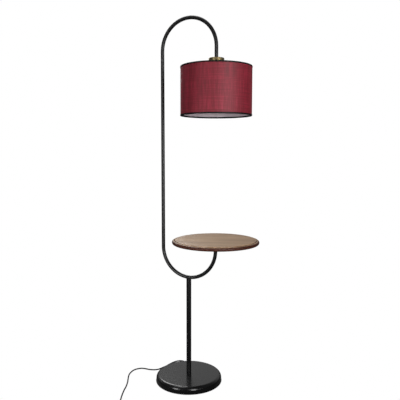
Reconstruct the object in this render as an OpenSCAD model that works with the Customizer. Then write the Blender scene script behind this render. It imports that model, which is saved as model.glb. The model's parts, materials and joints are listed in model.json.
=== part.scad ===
// Floor lamp with a side table: a steel hoop on a pole carries a drum shade and a round wooden table.
// Millimetres, +Z up. The origin is the centre of the base's underside, on the floor and on the pole's axis.
// The hoop stands in the XZ plane, with the shade and the table on its +X side.

/* [Hoop] */
// Height of the lamp, from the floor to the top of the arch
lamp_h = 1626; // [1450:1:1800]
// Width of the hoop between tube centres
hoop_w = 264; // [220:1:320]
// Outside diameter of the hoop tube
tube_d = 16; // [15:0.5:20]
// Wall thickness of the hoop tube
tube_wall = 1.5; // [1:0.1:1.8]
// Straight length of the arm from the arch down to the brass cup
arm_drop = 50; // [30:1:90]
// Height of the joint in the long leg
joint_z = 900; // [760:1:1100]
// Length of the steel sleeve inside that joint
sleeve_l = 80; // [40:1:140]
// Diameter of the cable hole where the pole meets the hoop
cable_hole_d = 9; // [7:0.5:10]

/* [Pole] */
// Outside diameter of the pole
pole_d = 22; // [20:0.5:28]
// Wall thickness of the pole
pole_wall = 1.5; // [1:0.1:2]
// Thickness of the plug that closes the pole under the hoop
pole_plug_t = 8; // [4:0.5:20]
// Length of the threaded bush in the pole's foot
bush_l = 20; // [14:1:40]
// Outside diameter of the threaded nipples
nipple_d = 10; // [9:0.5:12]
// Bore of the threaded nipples
nipple_bore = 7; // [6:0.25:7.5]
// Thickness of the nut under the weight
nut_h = 4; // [3:0.25:5]
// Width of the nuts across their flats
nut_flats = 15; // [14:0.5:17]
// Diameter of the washer under the weight
washer_d = 28; // [20:1:36]
// Thickness of that washer
washer_t = 1.2; // [0.8:0.1:1.6]

/* [Base] */
// Outside diameter of the base
base_d = 300; // [260:1:360]
// Height of the base
base_h = 32; // [28:0.5:38]
// Thickness of the spun steel cover
cover_t = 1.5; // [1:0.1:2]
// Radius of the cover's rounded shoulder
shoulder_r = 16; // [10:0.5:18]
// Diameter of the rolled rim at the cover's lower edge
rim_d = 3; // [2:0.25:4]
// Thickness of the felt pad
pad_t = 2; // [1.5:0.1:3]
// Thickness of the bottom plate
plate_t = 1.5; // [1:0.1:2]
// Distance from the weight's edge to the cover's shoulder
weight_gap = 2.5; // [0.5:0.25:20]
// Thickness of the weight
weight_t = 12; // [10:0.5:14]
// Depth of the weight's pocket for the nut
pocket_h = 8; // [6:0.25:9]
// Diameter of that pocket
pocket_d = 44; // [38:1:60]
// Distance of the bottom plate's three screws from the weight's edge
plate_screw_inset = 30; // [12:1:50]
// Thread diameter of those screws
plate_screw_d = 5; // [4:0.5:6]
// Head diameter of those screws
plate_head_d = 9; // [8:0.5:10]
// Head height of those screws
plate_head_h = 1.2; // [0.8:0.1:1.4]

/* [Table] */
// Height of the table's top face
table_z = 662; // [600:1:720]
// Diameter of the table
table_d = 380; // [320:1:460]
// Thickness of the table
table_t = 18; // [17:0.5:24]
// Height of the step round the table's top face
step_h = 2; // [1.5:0.1:4]
// Distance from that step to the table's outermost edge
step_inset = 12; // [11:0.25:20]
// Radius of the groove at the foot of the step
groove_r = 1.5; // [0.75:0.05:2]
// Radius that eases the step's upper edge
ease_r = 1.2; // [0.5:0.1:1.4]
// Straight length of tube under the table
stem_l = 28; // [10:1:60]
// Diameter of the steel flange under the table
flange_d = 90; // [70:1:120]
// Thickness of that flange
flange_t = 4; // [3:0.25:6]
// Circle on which the four table screws stand
table_pcd = 68; // [50:1:80]
// Shank diameter of the table screws
wood_screw_d = 4.5; // [3.5:0.25:5]
// Length of the table screws inside the wood
wood_screw_l = 12; // [8:0.5:14]
// Head diameter of the table screws
wood_head_d = 9; // [7:0.5:10]
// Head height of the table screws
wood_head_h = 2.6; // [2:0.1:3.5]

/* [Lamp holder] */
// Diameter of the brass cup
cup_d = 68; // [62:0.5:80]
// Height of the brass cup
cup_h = 38; // [30:0.5:44]
// Wall thickness of the brass cup
cup_wall = 1.2; // [0.8:0.1:2]
// Length of the threaded bush in the end of the arm
arm_bush_l = 12; // [8:0.5:24]
// Diameter of the holder's cap
holder_cap_d = 41; // [40:0.5:44]
// Height of the holder's cap
holder_cap_h = 22; // [18:0.5:26]
// Diameter of the holder's body, over its shade thread
holder_d = 38; // [37:0.25:39]
// Length of the holder's body
holder_l = 38; // [36:0.5:44]
// Wall thickness of the holder's cap and body
holder_wall = 2.5; // [2:0.1:3]
// Height of the ceramic contact block
core_h = 9; // [6:0.5:10]
// Inside diameter of the screw socket
socket_d = 27; // [27:0.1:28]
// Wall thickness of the screw socket
socket_wall = 0.6; // [0.4:0.1:1]
// Length of the screw socket
socket_l = 24; // [20:0.5:24]
// Diameter of the two collars that clamp the shade
collar_d = 57; // [54:0.5:58]
// Height of each collar
collar_h = 8; // [6:0.5:8]
// Distance from the holder's lower edge to the lower collar
collar_rise = 2; // [1:0.25:4]

/* [Bulb] */
// Diameter of the bulb
bulb_d = 60; // [45:1:70]
// Length of the bulb below the holder
bulb_l = 82; // [74:1:95]
// Diameter of the bulb's screw cap
bulb_cap_d = 26; // [25:0.1:26.4]
// Length of the bulb's screw cap
bulb_cap_l = 24; // [20:0.5:25]
// Diameter of the contact in the middle of the screw cap
contact_d = 9; // [6:0.5:12]
// Wall thickness of the bulb's opal globe
globe_wall = 1.2; // [0.8:0.1:2]
// Distance from the globe's widest place up to the housing's edge
housing_edge = 8; // [4:0.5:14]

/* [Shade] */
// Outside diameter of the shade's fabric
shade_d = 304; // [260:1:360]
// Height of the shade
shade_h = 206; // [160:1:260]
// Rise from the clamped hub to the shade's upper edge
spider_rise = 19; // [12:0.5:40]
// Thickness of the woven fabric
fabric_t = 0.8; // [0.5:0.1:1.2]
// Thickness of the stiff liner
liner_t = 0.8; // [0.5:0.1:1.2]
// Height of the trim bands
trim_h = 6; // [4:0.5:10]
// Thickness of the trim bands
trim_t = 0.8; // [0.5:0.1:1.2]
// Diameter of the ring wire
wire_d = 3.5; // [2.5:0.25:4.5]
// Diameter of the spoke wire
spoke_d = 3; // [2:0.25:4]
// Number of spokes
spokes = 3; // [3:1:4]
// Diameter of the hub plate
hub_d = 64; // [61:0.5:76]
// Thickness of the hub plate
hub_t = 1.5; // [1:0.1:2.5]

/* [Flex] */
// Diameter of the flex outside the lamp
flex_d = 6; // [5:0.25:7]
// Diameter of the cable inside the tubes
cable_d = 4; // [3:0.25:4.5]
// Direction in which the flex leaves the base, in degrees from +X
exit_turn = 125; // [125:1:125]
// Diameter of the gland where the flex passes through the cover
gland_d = 9; // [8.5:0.25:10]
// Length of the gland's tapered part outside the base
gland_out = 14; // [14:0.5:14]
// Length of the gland inside the base
gland_in = 8; // [6:0.5:9]
// Diameter of the gland's thin end
gland_tip_d = 7.6; // [7.5:0.1:8]
// Width of the clamp bar across the cable
clamp_w = 26; // [22:1:34]
// Thickness of the clamp bar
clamp_t = 2.5; // [2:0.25:3]
// Distance of the clamp bar from the weight's edge
clamp_inset = 25; // [8:1:45]
// Thread diameter of the clamp's screws
clamp_screw_d = 3; // [2.5:0.25:3.5]
// Head height of the clamp's screws
clamp_head_h = 1.5; // [1:0.1:1.8]
// Turns in the coil of spare flex
coil_turns = 5; // [3:1:9]
// Radius of the coil's outermost turn
coil_r = 41; // [38:1:60]
// Space between neighbouring turns
turn_gap = 0.7; // [0.6:0.05:1.5]
// Width of the tie round the coil
tie_w = 10; // [6:0.5:16]
// Thickness of the tie
tie_t = 0.6; // [0.4:0.1:0.7]
// Clearance of the tie at both sides of the coil
tie_gap = 1; // [0.8:0.1:2]

/* [Foot switch] */
// Length of the switch housing
switch_l = 84; // [70:1:110]
// Width of the switch housing
switch_w = 38; // [36:1:50]
// Height of the switch housing
switch_h = 22; // [20:0.5:28]
// Height of the housing's lower half
switch_split = 9; // [8:0.25:10]
// Wall thickness of the housing
switch_wall = 2.5; // [2:0.1:3]
// Height of the flex where it enters the switch
switch_flex_z = 6; // [5:0.25:6.5]
// Length of the tapered rubber sleeves, at the switch and at the plug
sleeve_out = 20; // [20:0.5:30]
// Diameter of the sleeves at the switch where they pass through its ends
sleeve_d = 10; // [9:0.25:11]
// Diameter of a sleeve's thin end
sleeve_tip_d = 7.6; // [7.5:0.1:8]
// Diameter of the foot button
button_d = 26; // [20:0.5:28]
// Height of the foot button above the housing
button_h = 5; // [4:0.25:8]
// Travel of the foot button
button_travel = 3; // [2:0.25:3.5]
// Width of the flange that keeps the button in the housing
button_flange = 2; // [1:0.25:2.5]
// Length of the contact unit
module_l = 26; // [20:1:36]
// Width of the contact unit
module_w = 16; // [12:1:20]
// Height of the contact unit
module_h = 6; // [5:0.25:7]
// Diameter of the contact unit's plunger
plunger_d = 8; // [5:0.5:12]
// Thread diameter of the housing's screws
case_screw_d = 3; // [2.5:0.25:3.5]
// Head height of the housing's screws
case_head_h = 1.6; // [1:0.1:2]

/* [Plug] */
// Length of the plug's body
plug_l = 36; // [32:1:44]
// Width of the plug's body
plug_w = 35; // [33:1:40]
// Height of the plug's body
plug_h = 14; // [13:0.5:18]
// Radius of the rounded corners of the plug's outline
plug_corner_r = 4; // [2:0.25:5]
// Diameter of the plug's pins
pin_d = 4; // [4:0.1:4.8]
// Distance between the pins
pin_pitch = 19; // [18:0.1:20]
// Free length of the pins
pin_l = 19; // [18:0.5:20]
// Depth to which the pins are set in the body
pin_root = 8; // [4:0.5:12]
// How much thicker the pins are inside the body
pin_shoulder = 0.6; // [0.2:0.1:1.5]

/* [Hidden] */
$fn = 96;

// Clearance between pieces that fit together, and how far a cutting tool runs past a face
fit = 0.1;
past = 1;

// Hoop
bend_r = hoop_w / 2;
arch_z = lamp_h - tube_d / 2 - bend_r;
tube_r = tube_d / 2;
tube_bore_r = tube_r - tube_wall;
cup_z = arch_z - arm_drop;
table_under_z = table_z - table_t;
bead_r = (table_t - step_h) / 2;
flange_z = table_under_z - flange_t;
j_z = flange_z - stem_l;
j_low_z = j_z - bend_r;
pole_top_z = j_low_z - tube_r / 2;

// Base, from the floor up
plate_top_z = pad_t + plate_t;
cover_in_z = base_h - cover_t;
weight_z = cover_in_z - weight_t;
pocket_z = weight_z + pocket_h;
side_r = base_d / 2 - rim_d / 2;
rim_z = pad_t / 2 + rim_d / 2;
plate_r = side_r - cover_t - fit;
weight_r = side_r - shoulder_r - weight_gap;
plate_pcd = 2 * (weight_r - plate_screw_inset);
clamp_at = weight_r - clamp_inset;
screw_turns = [for (k = [0:2]) exit_turn + 60 + 120 * k];
boss_d = 2 * plate_head_d;
nipple_low_z = pocket_z - washer_t - nut_h - fit;
clamp_z = plate_top_z + clamp_head_h + fit;
exit_z = clamp_z + clamp_t + fit + cable_d / 2;
cable_bend_r = 6;
clamp_screw_gap = cable_d + clamp_screw_d + 4;

// Lamp holder and shade, from the cup down
holder_nut_z = cup_z - cup_wall - nut_h;
holder_cap_z = holder_nut_z - holder_cap_h;
holder_z = holder_cap_z - holder_l;
lower_collar_z = holder_z + collar_rise;
hub_z = lower_collar_z + collar_h + fit;
upper_collar_z = hub_z + hub_t + fit;
core_z = holder_cap_z - core_h;
socket_z = core_z - socket_l - fit;
shade_top_z = hub_z + hub_t / 2 + spider_rise;
shade_low_z = shade_top_z - shade_h;
liner_r = shade_d / 2 - fabric_t - fit;
trim_in_r = liner_r - liner_t - fit;
ring_r = trim_in_r - trim_t - fit - wire_d / 2;
hem_in_r = ring_r - wire_d / 2 - fit;
globe_z = holder_z - bulb_l + bulb_d / 2;

// Flex on the floor. The switch, the coil and the plug lie in line past the lead's end, turned by
// spare_turn. Each end of a free stretch runs straight before it bends.
rest_z = flex_d / 2 + fit;
flex_sides = 8;
straight = 1.5 * flex_d;
exit_r = base_d / 2 + gland_out;
spare_turn = 28;
spare_way = [cos(spare_turn), sin(spare_turn), 0];
lead_end = [-80, -340, switch_flex_z];

// Route of the flex from the gland to the foot switch: round the back of the base, out to the left and
// forward again. The first point lies on the gland's thin end, the last on the switch's sleeve. The
// heights follow from the flex lying on the floor.
lead_route = [
    exit_point(exit_r, exit_z), exit_point(exit_r + straight, exit_z), [-108.4, 150.2, 8.9],
    [-121.2, 154.4, 7.4], [-134.6, 152.5, 5.8], [-145.7, 145, 4.5], [-154.9, 128.9, 3.5],
    [-159.5, 110.6, 3.1], [-162.8, 91, 3.1], [-164.4, 71.6, 3.1], [-170, 56.2, 3.1], [-173, 43.5, 3.1],
    [-178, 29, 3.1], [-188, 16, 3.1], [-203, 8, 3.1], [-220, 4, 3.1], [-238, 3, 3.1], [-256, -1, 3.1],
    [-268, -11, 3.1], [-277, -26, 3.1], [-280, -44, 3.1], [-278, -62, 3.1], [-274, -79, 3.1],
    [-267, -95, 3.1], [-259, -110, 3.1], [-250, -125, 3.1], [-241, -140, 3.1], [-232, -155, 3.1],
    [-224, -171, 3.1], [-216, -188, 3.1], [-209, -205, 3.1], [-203, -222, 3.1], [-195, -240, 3.1],
    [-187, -258, 3.1], [-179, -275, 3.1], [-170, -292, 3.1], [-161, -309, 3.1], [-151, -325, 3.6],
    [-137, -339, 4.6], [-119, -347, 5.6], [-101, -348, 6],
    lead_end - straight * spare_way, lead_end
];

// Distances along that line from the lead's end, and the heights of the flex on it
switch_at = sleeve_out + switch_l / 2;
link_from = 2 * sleeve_out + switch_l;
link_l = 70;
coil_from = link_from + link_l;
layer_step = flex_d + turn_gap;
coil_z = tie_t + 2 * fit + flex_d / 2;
tail_from = coil_from + 2 * straight;
tail_l = 90;
plug_at = tail_from + tail_l;
button_low_z = switch_h - switch_wall - fit - button_flange;
plug_flex_z = plug_h / 2;

// ---------- shared shapes ----------

module tube(l, r_out, r_in) {
    difference() {
        cylinder(h = l, r = r_out);
        translate([0, 0, -past]) cylinder(h = l + 2 * past, r = r_in);
    }
}

// Part of a ring in the XZ plane, round the origin, from one angle to the other
module bend(from, to, r) {
    rotate([90, 0, 0])
        rotate([0, 0, from])
            rotate_extrude(angle = to - from) translate([bend_r, 0]) circle(r = r);
}

module hex_nut(h, flats, bore) {
    difference() {
        cylinder(h = h, d = flats / cos(30), $fn = 6);
        translate([0, 0, -past]) cylinder(h = h + 2 * past, d = bore);
    }
}

module stadium(l, w) {
    square([l - w, w], center = true);
    for (side = [-1, 1]) translate([side * (l - w) / 2, 0]) circle(d = w);
}

module on_circle(d, turns) {
    for (a = turns) rotate([0, 0, a]) translate([d / 2, 0, 0]) children();
}

module at_shade() {
    translate([bend_r, 0, 0]) children();
}

// Places a piece on the line past the lead's end
module on_line(along) {
    translate([lead_end.x, lead_end.y, 0])
        rotate([0, 0, spare_turn]) translate([along, 0, 0]) children();
}

// ---------- a tube swept along points ----------

function unit(v) = v / norm(v);
function square_to(v, t) = unit(v - (v * t) * t);
function heading(p, i) =
    let (a = max(i - 1, 0), b = min(i + 1, len(p) - 1))
    unit(unit(p[min(i + 1, b)] - p[b == i ? i - 1 : i]) + unit(p[i == a ? i + 1 : i] - p[a]));
function carried(p, side) = [
    for (i = 0, n = square_to(side, heading(p, 0));
         i < len(p);
         i = i + 1, n = i < len(p) ? square_to(n, heading(p, i)) : n) n
];

module swept(p, d, sides, side = [0, 0, 1]) {
    normals = carried(p, side);
    rings = [
        for (i = [0:len(p) - 1])
            let (n = normals[i], b = cross(heading(p, i), n))
            for (k = [0:sides - 1])
                p[i] + d / 2 * (cos(360 * k / sides) * n + sin(360 * k / sides) * b)
    ];
    last = (len(p) - 1) * sides;
    walls = [
        for (i = [0:len(p) - 2], k = [0:sides - 1])
            let (a = i * sides + k, b = i * sides + (k + 1) % sides)
            each [[a, b + sides, b], [a, a + sides, b + sides]]
    ];
    ends = [for (k = [1:sides - 2]) each [[0, k, k + 1], [last, last + k + 1, last + k]]];
    polyhedron(points = rings, faces = concat(walls, ends));
}

// ---------- base ----------

module base_pad() {
    color("#2b2b2b")
        difference() {
            cylinder(h = pad_t, r = plate_r - rim_d);
            on_circle(plate_pcd, screw_turns)
                translate([0, 0, -past])
                    cylinder(h = pad_t + 2 * past, d = plate_head_d + 2);
        }
}

module base_plate() {
    color("#8d9094")
        translate([0, 0, pad_t])
            difference() {
                cylinder(h = plate_t, r = plate_r);
                on_circle(plate_pcd, screw_turns)
                    translate([0, 0, -past])
                        cylinder(h = plate_t + 2 * past, d = plate_screw_d + 2 * fit);
            }
}

module base_weight() {
    color("#3d3f42")
        difference() {
            union() {
                translate([0, 0, weight_z]) cylinder(h = weight_t - fit, r = weight_r);
                on_circle(plate_pcd, screw_turns)
                    translate([0, 0, plate_top_z])
                        cylinder(h = weight_z - plate_top_z + past, d = boss_d);
            }
            translate([0, 0, weight_z - past]) cylinder(h = pocket_h + past, d = pocket_d);
            translate([0, 0, weight_z]) cylinder(h = weight_t, d = nipple_d + 2 * fit);
            on_circle(plate_pcd, screw_turns)
                translate([0, 0, plate_top_z - past])
                    cylinder(h = weight_z - plate_top_z + past, d = plate_screw_d + 2 * fit);
            clamp_places(weight_z - past)
                cylinder(h = weight_t / 2 + past, d = clamp_screw_d + 2 * fit);
        }
}

// Outline of the cover from its axis out, drawn in by the given amount
module cover_outline(inset) {
    square([side_r - shoulder_r, base_h - inset]);
    translate([side_r - shoulder_r, base_h - shoulder_r]) circle(r = shoulder_r - inset);
    square([side_r - inset, base_h - shoulder_r]);
}

module base_cover() {
    color("#1b1b1c")
        difference() {
            rotate_extrude() {
                difference() {
                    cover_outline(0);
                    cover_outline(cover_t);
                    translate([0, -base_h]) square([base_d, base_h + rim_z]);
                }
                translate([base_d / 2 - rim_d / 2, rim_z]) circle(d = rim_d);
            }
            translate([0, 0, cover_in_z - past]) cylinder(h = cover_t + 2 * past, d = nipple_d + 2 * fit);
            gland_axis(side_r - gland_in) cylinder(h = gland_in + gland_out, d = gland_d + 2 * fit);
        }
}

module base_screws() {
    color("#b4b6b8")
        on_circle(plate_pcd, screw_turns) {
            translate([0, 0, pad_t - plate_head_h]) cylinder(h = plate_head_h, d = plate_head_d);
            translate([0, 0, pad_t])
                cylinder(h = weight_z - pad_t - past, d = plate_screw_d);
        }
}

// The line along which the flex leaves the base, starting at the given radius
module gland_axis(at) {
    rotate([0, 0, exit_turn]) translate([at, 0, exit_z]) rotate([0, 90, 0]) children();
}

module cord_gland() {
    color("#161616")
        difference() {
            union() {
                gland_axis(side_r - gland_in) cylinder(h = gland_in + rim_d, d = gland_d);
                gland_axis(side_r + rim_d)
                    cylinder(h = exit_r - side_r - rim_d, d1 = gland_d, d2 = gland_tip_d);
            }
            gland_axis(side_r - gland_in - past)
                cylinder(h = gland_in + 2 * gland_out, d = cable_d + 2 * fit);
        }
}

module clamp_places(z) {
    rotate([0, 0, exit_turn])
        for (side = [-1, 1]) translate([clamp_at, side * clamp_screw_gap / 2, z]) children();
}

module cord_clamp() {
    color("#d8d4c8")
        difference() {
            rotate([0, 0, exit_turn])
                translate([clamp_at - 1.5 * clamp_screw_d, -clamp_w / 2, clamp_z])
                    cube([3 * clamp_screw_d, clamp_w, clamp_t]);
            clamp_places(0) cylinder(h = weight_z, d = clamp_screw_d + 2 * fit);
        }
}

module clamp_screws() {
    color("#b4b6b8")
        clamp_places(clamp_z - clamp_head_h) {
            cylinder(h = clamp_head_h, d = 2 * clamp_screw_d);
            cylinder(h = weight_z + weight_t / 2 - past - clamp_z + clamp_head_h, d = clamp_screw_d);
        }
}

// ---------- pole ----------

module pole() {
    color("#1b1b1c")
        difference() {
            translate([0, 0, base_h]) cylinder(h = pole_top_z - base_h, d = pole_d);
            translate([0, 0, base_h - past])
                cylinder(h = pole_top_z - pole_plug_t - base_h + past, d = pole_d - 2 * pole_wall);
            cylinder(h = lamp_h, d = cable_hole_d);
            translate([0, 0, j_z]) bend(180, 360, tube_r + fit / 2);
        }
}

module pole_bush() {
    color("#a9abad")
        translate([0, 0, base_h + fit])
            tube(bush_l, pole_d / 2 - pole_wall - fit / 2, nipple_d / 2 + fit);
}

module pole_nipple() {
    color("#b9b296")
        translate([0, 0, nipple_low_z])
            tube(base_h + bush_l - nipple_low_z, nipple_d / 2, nipple_bore / 2);
}

module pole_washer() {
    color("#b4b6b8")
        translate([0, 0, pocket_z - washer_t - fit / 2])
            tube(washer_t, washer_d / 2, nipple_d / 2 + fit);
}

module pole_nut() {
    color("#b4b6b8")
        translate([0, 0, pocket_z - washer_t - nut_h - fit / 2])
            hex_nut(nut_h - fit / 2, nut_flats, nipple_d + 2 * fit);
}

// ---------- hoop ----------

// The lower half of the hoop: the long leg's foot, the half circle and the stem under the table
module lower_run(r, extra) {
    translate([-bend_r, 0, j_z]) cylinder(h = joint_z - j_z + extra, r = r);
    translate([0, 0, j_z]) bend(180, 360, r);
    translate([bend_r, 0, j_z]) cylinder(h = stem_l + extra, r = r);
}

module lower_hoop() {
    color("#1b1b1c")
        difference() {
            lower_run(tube_r, 0);
            lower_run(tube_bore_r, past);
            translate([0, 0, j_low_z - tube_r - past]) cylinder(h = tube_r + past, d = cable_hole_d);
        }
}

// The upper half of the hoop: the long leg, the arch and the arm that carries the lamp holder
module upper_run(r, extra) {
    translate([-bend_r, 0, joint_z + fit - extra]) cylinder(h = arch_z - joint_z - fit + extra, r = r);
    translate([0, 0, arch_z]) bend(0, 180, r);
    translate([bend_r, 0, cup_z - extra]) cylinder(h = arm_drop + extra, r = r);
}

module upper_hoop() {
    color("#1b1b1c")
        difference() {
            upper_run(tube_r, 0);
            upper_run(tube_bore_r, past);
        }
}

module hoop_sleeve() {
    color("#a9abad")
        translate([-bend_r, 0, joint_z - sleeve_l / 2])
            tube(sleeve_l, tube_bore_r - fit, tube_bore_r - fit - tube_wall);
}

// ---------- table ----------

module table_flange() {
    color("#1b1b1c")
        translate([bend_r, 0, flange_z + fit / 2])
            difference() {
                cylinder(h = flange_t - fit, d = flange_d);
                on_circle(table_pcd, [45:90:315])
                    translate([0, 0, -past])
                        cylinder(h = flange_t + 2 * past, d = wood_screw_d + 4 * fit);
            }
}

module table_screws() {
    color("#b4b6b8")
        translate([bend_r, 0, flange_z])
            on_circle(table_pcd, [45:90:315]) {
                translate([0, 0, -wood_head_h]) cylinder(h = wood_head_h, d = wood_head_d);
                cylinder(h = flange_t + wood_screw_l, d = wood_screw_d);
            }
}

// Half section of the table: top face, step with a groove at its foot, and rounded edge
module table_section() {
    top_r = table_d / 2 - step_inset;
    bead_x = table_d / 2 - bead_r;
    square([top_r - ease_r, table_t]);
    square([top_r, table_t - ease_r]);
    translate([top_r - ease_r, table_t - ease_r]) circle(r = ease_r);
    difference() {
        union() {
            square([bead_x, 2 * bead_r]);
            translate([bead_x, bead_r]) circle(r = bead_r);
        }
        translate([top_r + groove_r, 2 * bead_r]) circle(r = groove_r);
    }
}

module table_top() {
    color("#8a6a52")
        translate([bend_r, 0, table_under_z])
            difference() {
                rotate_extrude($fn = 160) table_section();
                on_circle(table_pcd, [45:90:315])
                    translate([0, 0, -past])
                        cylinder(h = wood_screw_l + past + fit, d = wood_screw_d + 4 * fit);
            }
}

// ---------- cable inside the tubes ----------

function exit_point(r, z) = [r * cos(exit_turn), r * sin(exit_turn), z];
function hoop_point(a, z) = [bend_r * cos(a), 0, z + bend_r * sin(a)];

function cable_route() =
    let (turn = 8, lean = asin(turn / bend_r))
    concat(
        [exit_point(exit_r, exit_z), exit_point(clamp_at, exit_z), exit_point(pocket_d / 2, exit_z)],
        [for (a = [0:30:90])
            exit_point(cable_bend_r * (1 - sin(a)), exit_z + cable_bend_r * (1 - cos(a)))],
        [[0, 0, base_h + bush_l], [0, 0, j_low_z - turn - tube_r]],
        [for (a = [0:30:90]) [turn * (cos(a) - 1), 0, j_low_z - turn + turn * sin(a)]],
        [for (k = [1:14]) hoop_point(270 - lean - (90 - lean) * k / 14, j_z)],
        [[-bend_r, 0, joint_z]],
        [for (a = [180:-10:0]) hoop_point(a, arch_z)],
        [[bend_r, 0, cup_z], [bend_r, 0, holder_cap_z]]
    );

module inner_cable() {
    color("#b9b6ae") swept(cable_route(), cable_d, flex_sides, [sin(exit_turn), -cos(exit_turn), 0]);
}

// ---------- lamp holder ----------

module arm_bush() {
    color("#a9abad")
        at_shade()
            translate([0, 0, cup_z + fit]) tube(arm_bush_l, tube_bore_r - fit / 2, nipple_d / 2 + fit);
}

module holder_nipple() {
    color("#b9b296")
        at_shade()
            translate([0, 0, holder_nut_z - holder_wall])
                tube(holder_wall + nut_h + cup_wall + arm_bush_l, nipple_d / 2, nipple_bore / 2);
}

module holder_cup() {
    color("#a08a58")
        at_shade()
            translate([0, 0, cup_z - cup_h])
                difference() {
                    cylinder(h = cup_h, d = cup_d);
                    translate([0, 0, -past]) cylinder(h = cup_h - cup_wall + past, d = cup_d - 2 * cup_wall);
                    cylinder(h = cup_h + past, d = nipple_d + 2 * fit);
                }
}

module holder_nut() {
    color("#b9b296")
        at_shade()
            translate([0, 0, holder_nut_z + fit / 2])
                hex_nut(nut_h - fit, nut_flats, nipple_d + 2 * fit);
}

module holder_cap() {
    color("#1d1d1e")
        at_shade()
            translate([0, 0, holder_cap_z])
                difference() {
                    cylinder(h = holder_cap_h, d = holder_cap_d);
                    translate([0, 0, -past])
                        cylinder(h = holder_cap_h - holder_wall + past, d = holder_cap_d - 2 * holder_wall);
                    cylinder(h = holder_cap_h + past, d = nipple_d + 2 * fit);
                }
}

module holder_body() {
    color("#1d1d1e")
        at_shade()
            translate([0, 0, holder_z]) tube(holder_l - fit, holder_d / 2, holder_d / 2 - holder_wall);
}

module holder_core() {
    color("#e6e2d8")
        at_shade()
            translate([0, 0, core_z])
                cylinder(h = core_h - fit, r = holder_d / 2 - holder_wall - fit);
}

module socket_shell() {
    color("#c2a35a")
        at_shade() translate([0, 0, socket_z]) tube(socket_l, socket_d / 2 + socket_wall, socket_d / 2);
}

module collar() {
    at_shade() tube(collar_h, collar_d / 2, holder_d / 2 + fit);
}

module upper_collar() {
    color("#1d1d1e") translate([0, 0, upper_collar_z]) collar();
}

module lower_collar() {
    color("#1d1d1e") translate([0, 0, lower_collar_z]) collar();
}

// ---------- shade ----------

module wire_ring() {
    rotate_extrude() translate([ring_r, 0]) circle(d = wire_d, $fn = 32);
}

// Hub plate, spokes and upper ring, welded together
module shade_carrier() {
    ring_z = shade_top_z - trim_t - fit - wire_d / 2;
    spoke_r = (hub_d + collar_d) / 4;
    rise = ring_z - hub_z - hub_t / 2;
    run = ring_r - spoke_r;
    color("#d9d7d2")
        at_shade() {
            translate([0, 0, hub_z]) tube(hub_t, hub_d / 2, holder_d / 2 + 4 * fit);
            translate([0, 0, ring_z]) wire_ring();
            for (k = [0:spokes - 1])
                rotate([0, 0, 90 + 360 * k / spokes])
                    translate([spoke_r, 0, ring_z - rise])
                        rotate([0, 90 - atan2(rise, run), 0]) cylinder(h = norm([rise, run]), d = spoke_d);
        }
}

module shade_bottom_ring() {
    color("#d9d7d2")
        at_shade() translate([0, 0, shade_low_z + trim_t + fit + wire_d / 2]) wire_ring();
}

module shade_liner() {
    color("#9a8f95")
        at_shade()
            translate([0, 0, shade_low_z + trim_t + fit])
                tube(shade_h - 2 * (trim_t + fit), liner_r, liner_r - liner_t);
}

module shade_fabric() {
    color("#7a2632")
        at_shade()
            translate([0, 0, shade_low_z + trim_t + fit])
                tube(shade_h - 2 * (trim_t + fit), shade_d / 2, shade_d / 2 - fabric_t);
}

// A band folded over the shade's edge, open towards +Z, with the given radius inside the fold
module trim_band(in_r) {
    rotate_extrude()
        difference() {
            translate([in_r - trim_t, 0])
                square([shade_d / 2 + 2 * trim_t + fit - in_r, trim_h]);
            translate([in_r, trim_t]) square([shade_d / 2 + fit - in_r, trim_h]);
        }
}

module shade_top_trim() {
    color("#151515") at_shade() translate([0, 0, shade_top_z]) mirror([0, 0, 1]) trim_band(trim_in_r);
}

// The lower band is wide enough to wrap the bottom ring as well
module shade_bottom_trim() {
    color("#151515") at_shade() translate([0, 0, shade_low_z]) trim_band(hem_in_r);
}

// ---------- bulb ----------

module bulb_cap() {
    color("#b9bbbd")
        at_shade()
            translate([0, 0, holder_z]) {
                cylinder(h = core_z - holder_z - fit, d = contact_d);
                difference() {
                    cylinder(h = bulb_cap_l, d = bulb_cap_d);
                    translate([0, 0, -past])
                        cylinder(h = bulb_cap_l - socket_wall + past, d = bulb_cap_d - 2 * socket_wall);
                }
            }
}

module bulb_housing() {
    top_r = bulb_cap_d / 2;
    edge_z = globe_z + housing_edge;
    edge_r = sqrt(pow(bulb_d / 2, 2) - pow(housing_edge, 2));
    color("#efefec")
        at_shade() {
            translate([0, 0, edge_z]) cylinder(h = holder_z - edge_z - fit, r1 = edge_r, r2 = top_r);
        }
}

module bulb_globe() {
    color("#f7f5ee")
        at_shade()
            translate([0, 0, globe_z])
                difference() {
                    sphere(d = bulb_d);
                    sphere(d = bulb_d - 2 * globe_wall);
                    translate([0, 0, housing_edge - fit]) cylinder(h = bulb_d, d = 2 * bulb_d);
                }
}

// ---------- flex on the floor ----------

module flex_lead() {
    color("#161616") swept(lead_route, flex_d, flex_sides);
}

// Points on the line past the lead's end that pass smoothly from height to height between two straight
// ends, with n points for each change of height
function stepped(l, heights, n) =
    let (last = len(heights) - 1, step = (l - 2 * straight) / last)
    concat(
        [[0, 0, heights[0]]],
        [for (i = [0:last - 1], k = [0:n - 1])
            let (rise = heights[i + 1] - heights[i])
            [straight + (i + k / n) * step, 0, heights[i] + rise * (1 - cos(180 * k / n)) / 2]],
        [[l - straight, 0, heights[last]], [l, 0, heights[last]]]
    );

module flex_link() {
    color("#161616")
        on_line(link_from) swept(stepped(link_l, [switch_flex_z, coil_z], 3), flex_d, flex_sides);
}

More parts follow.
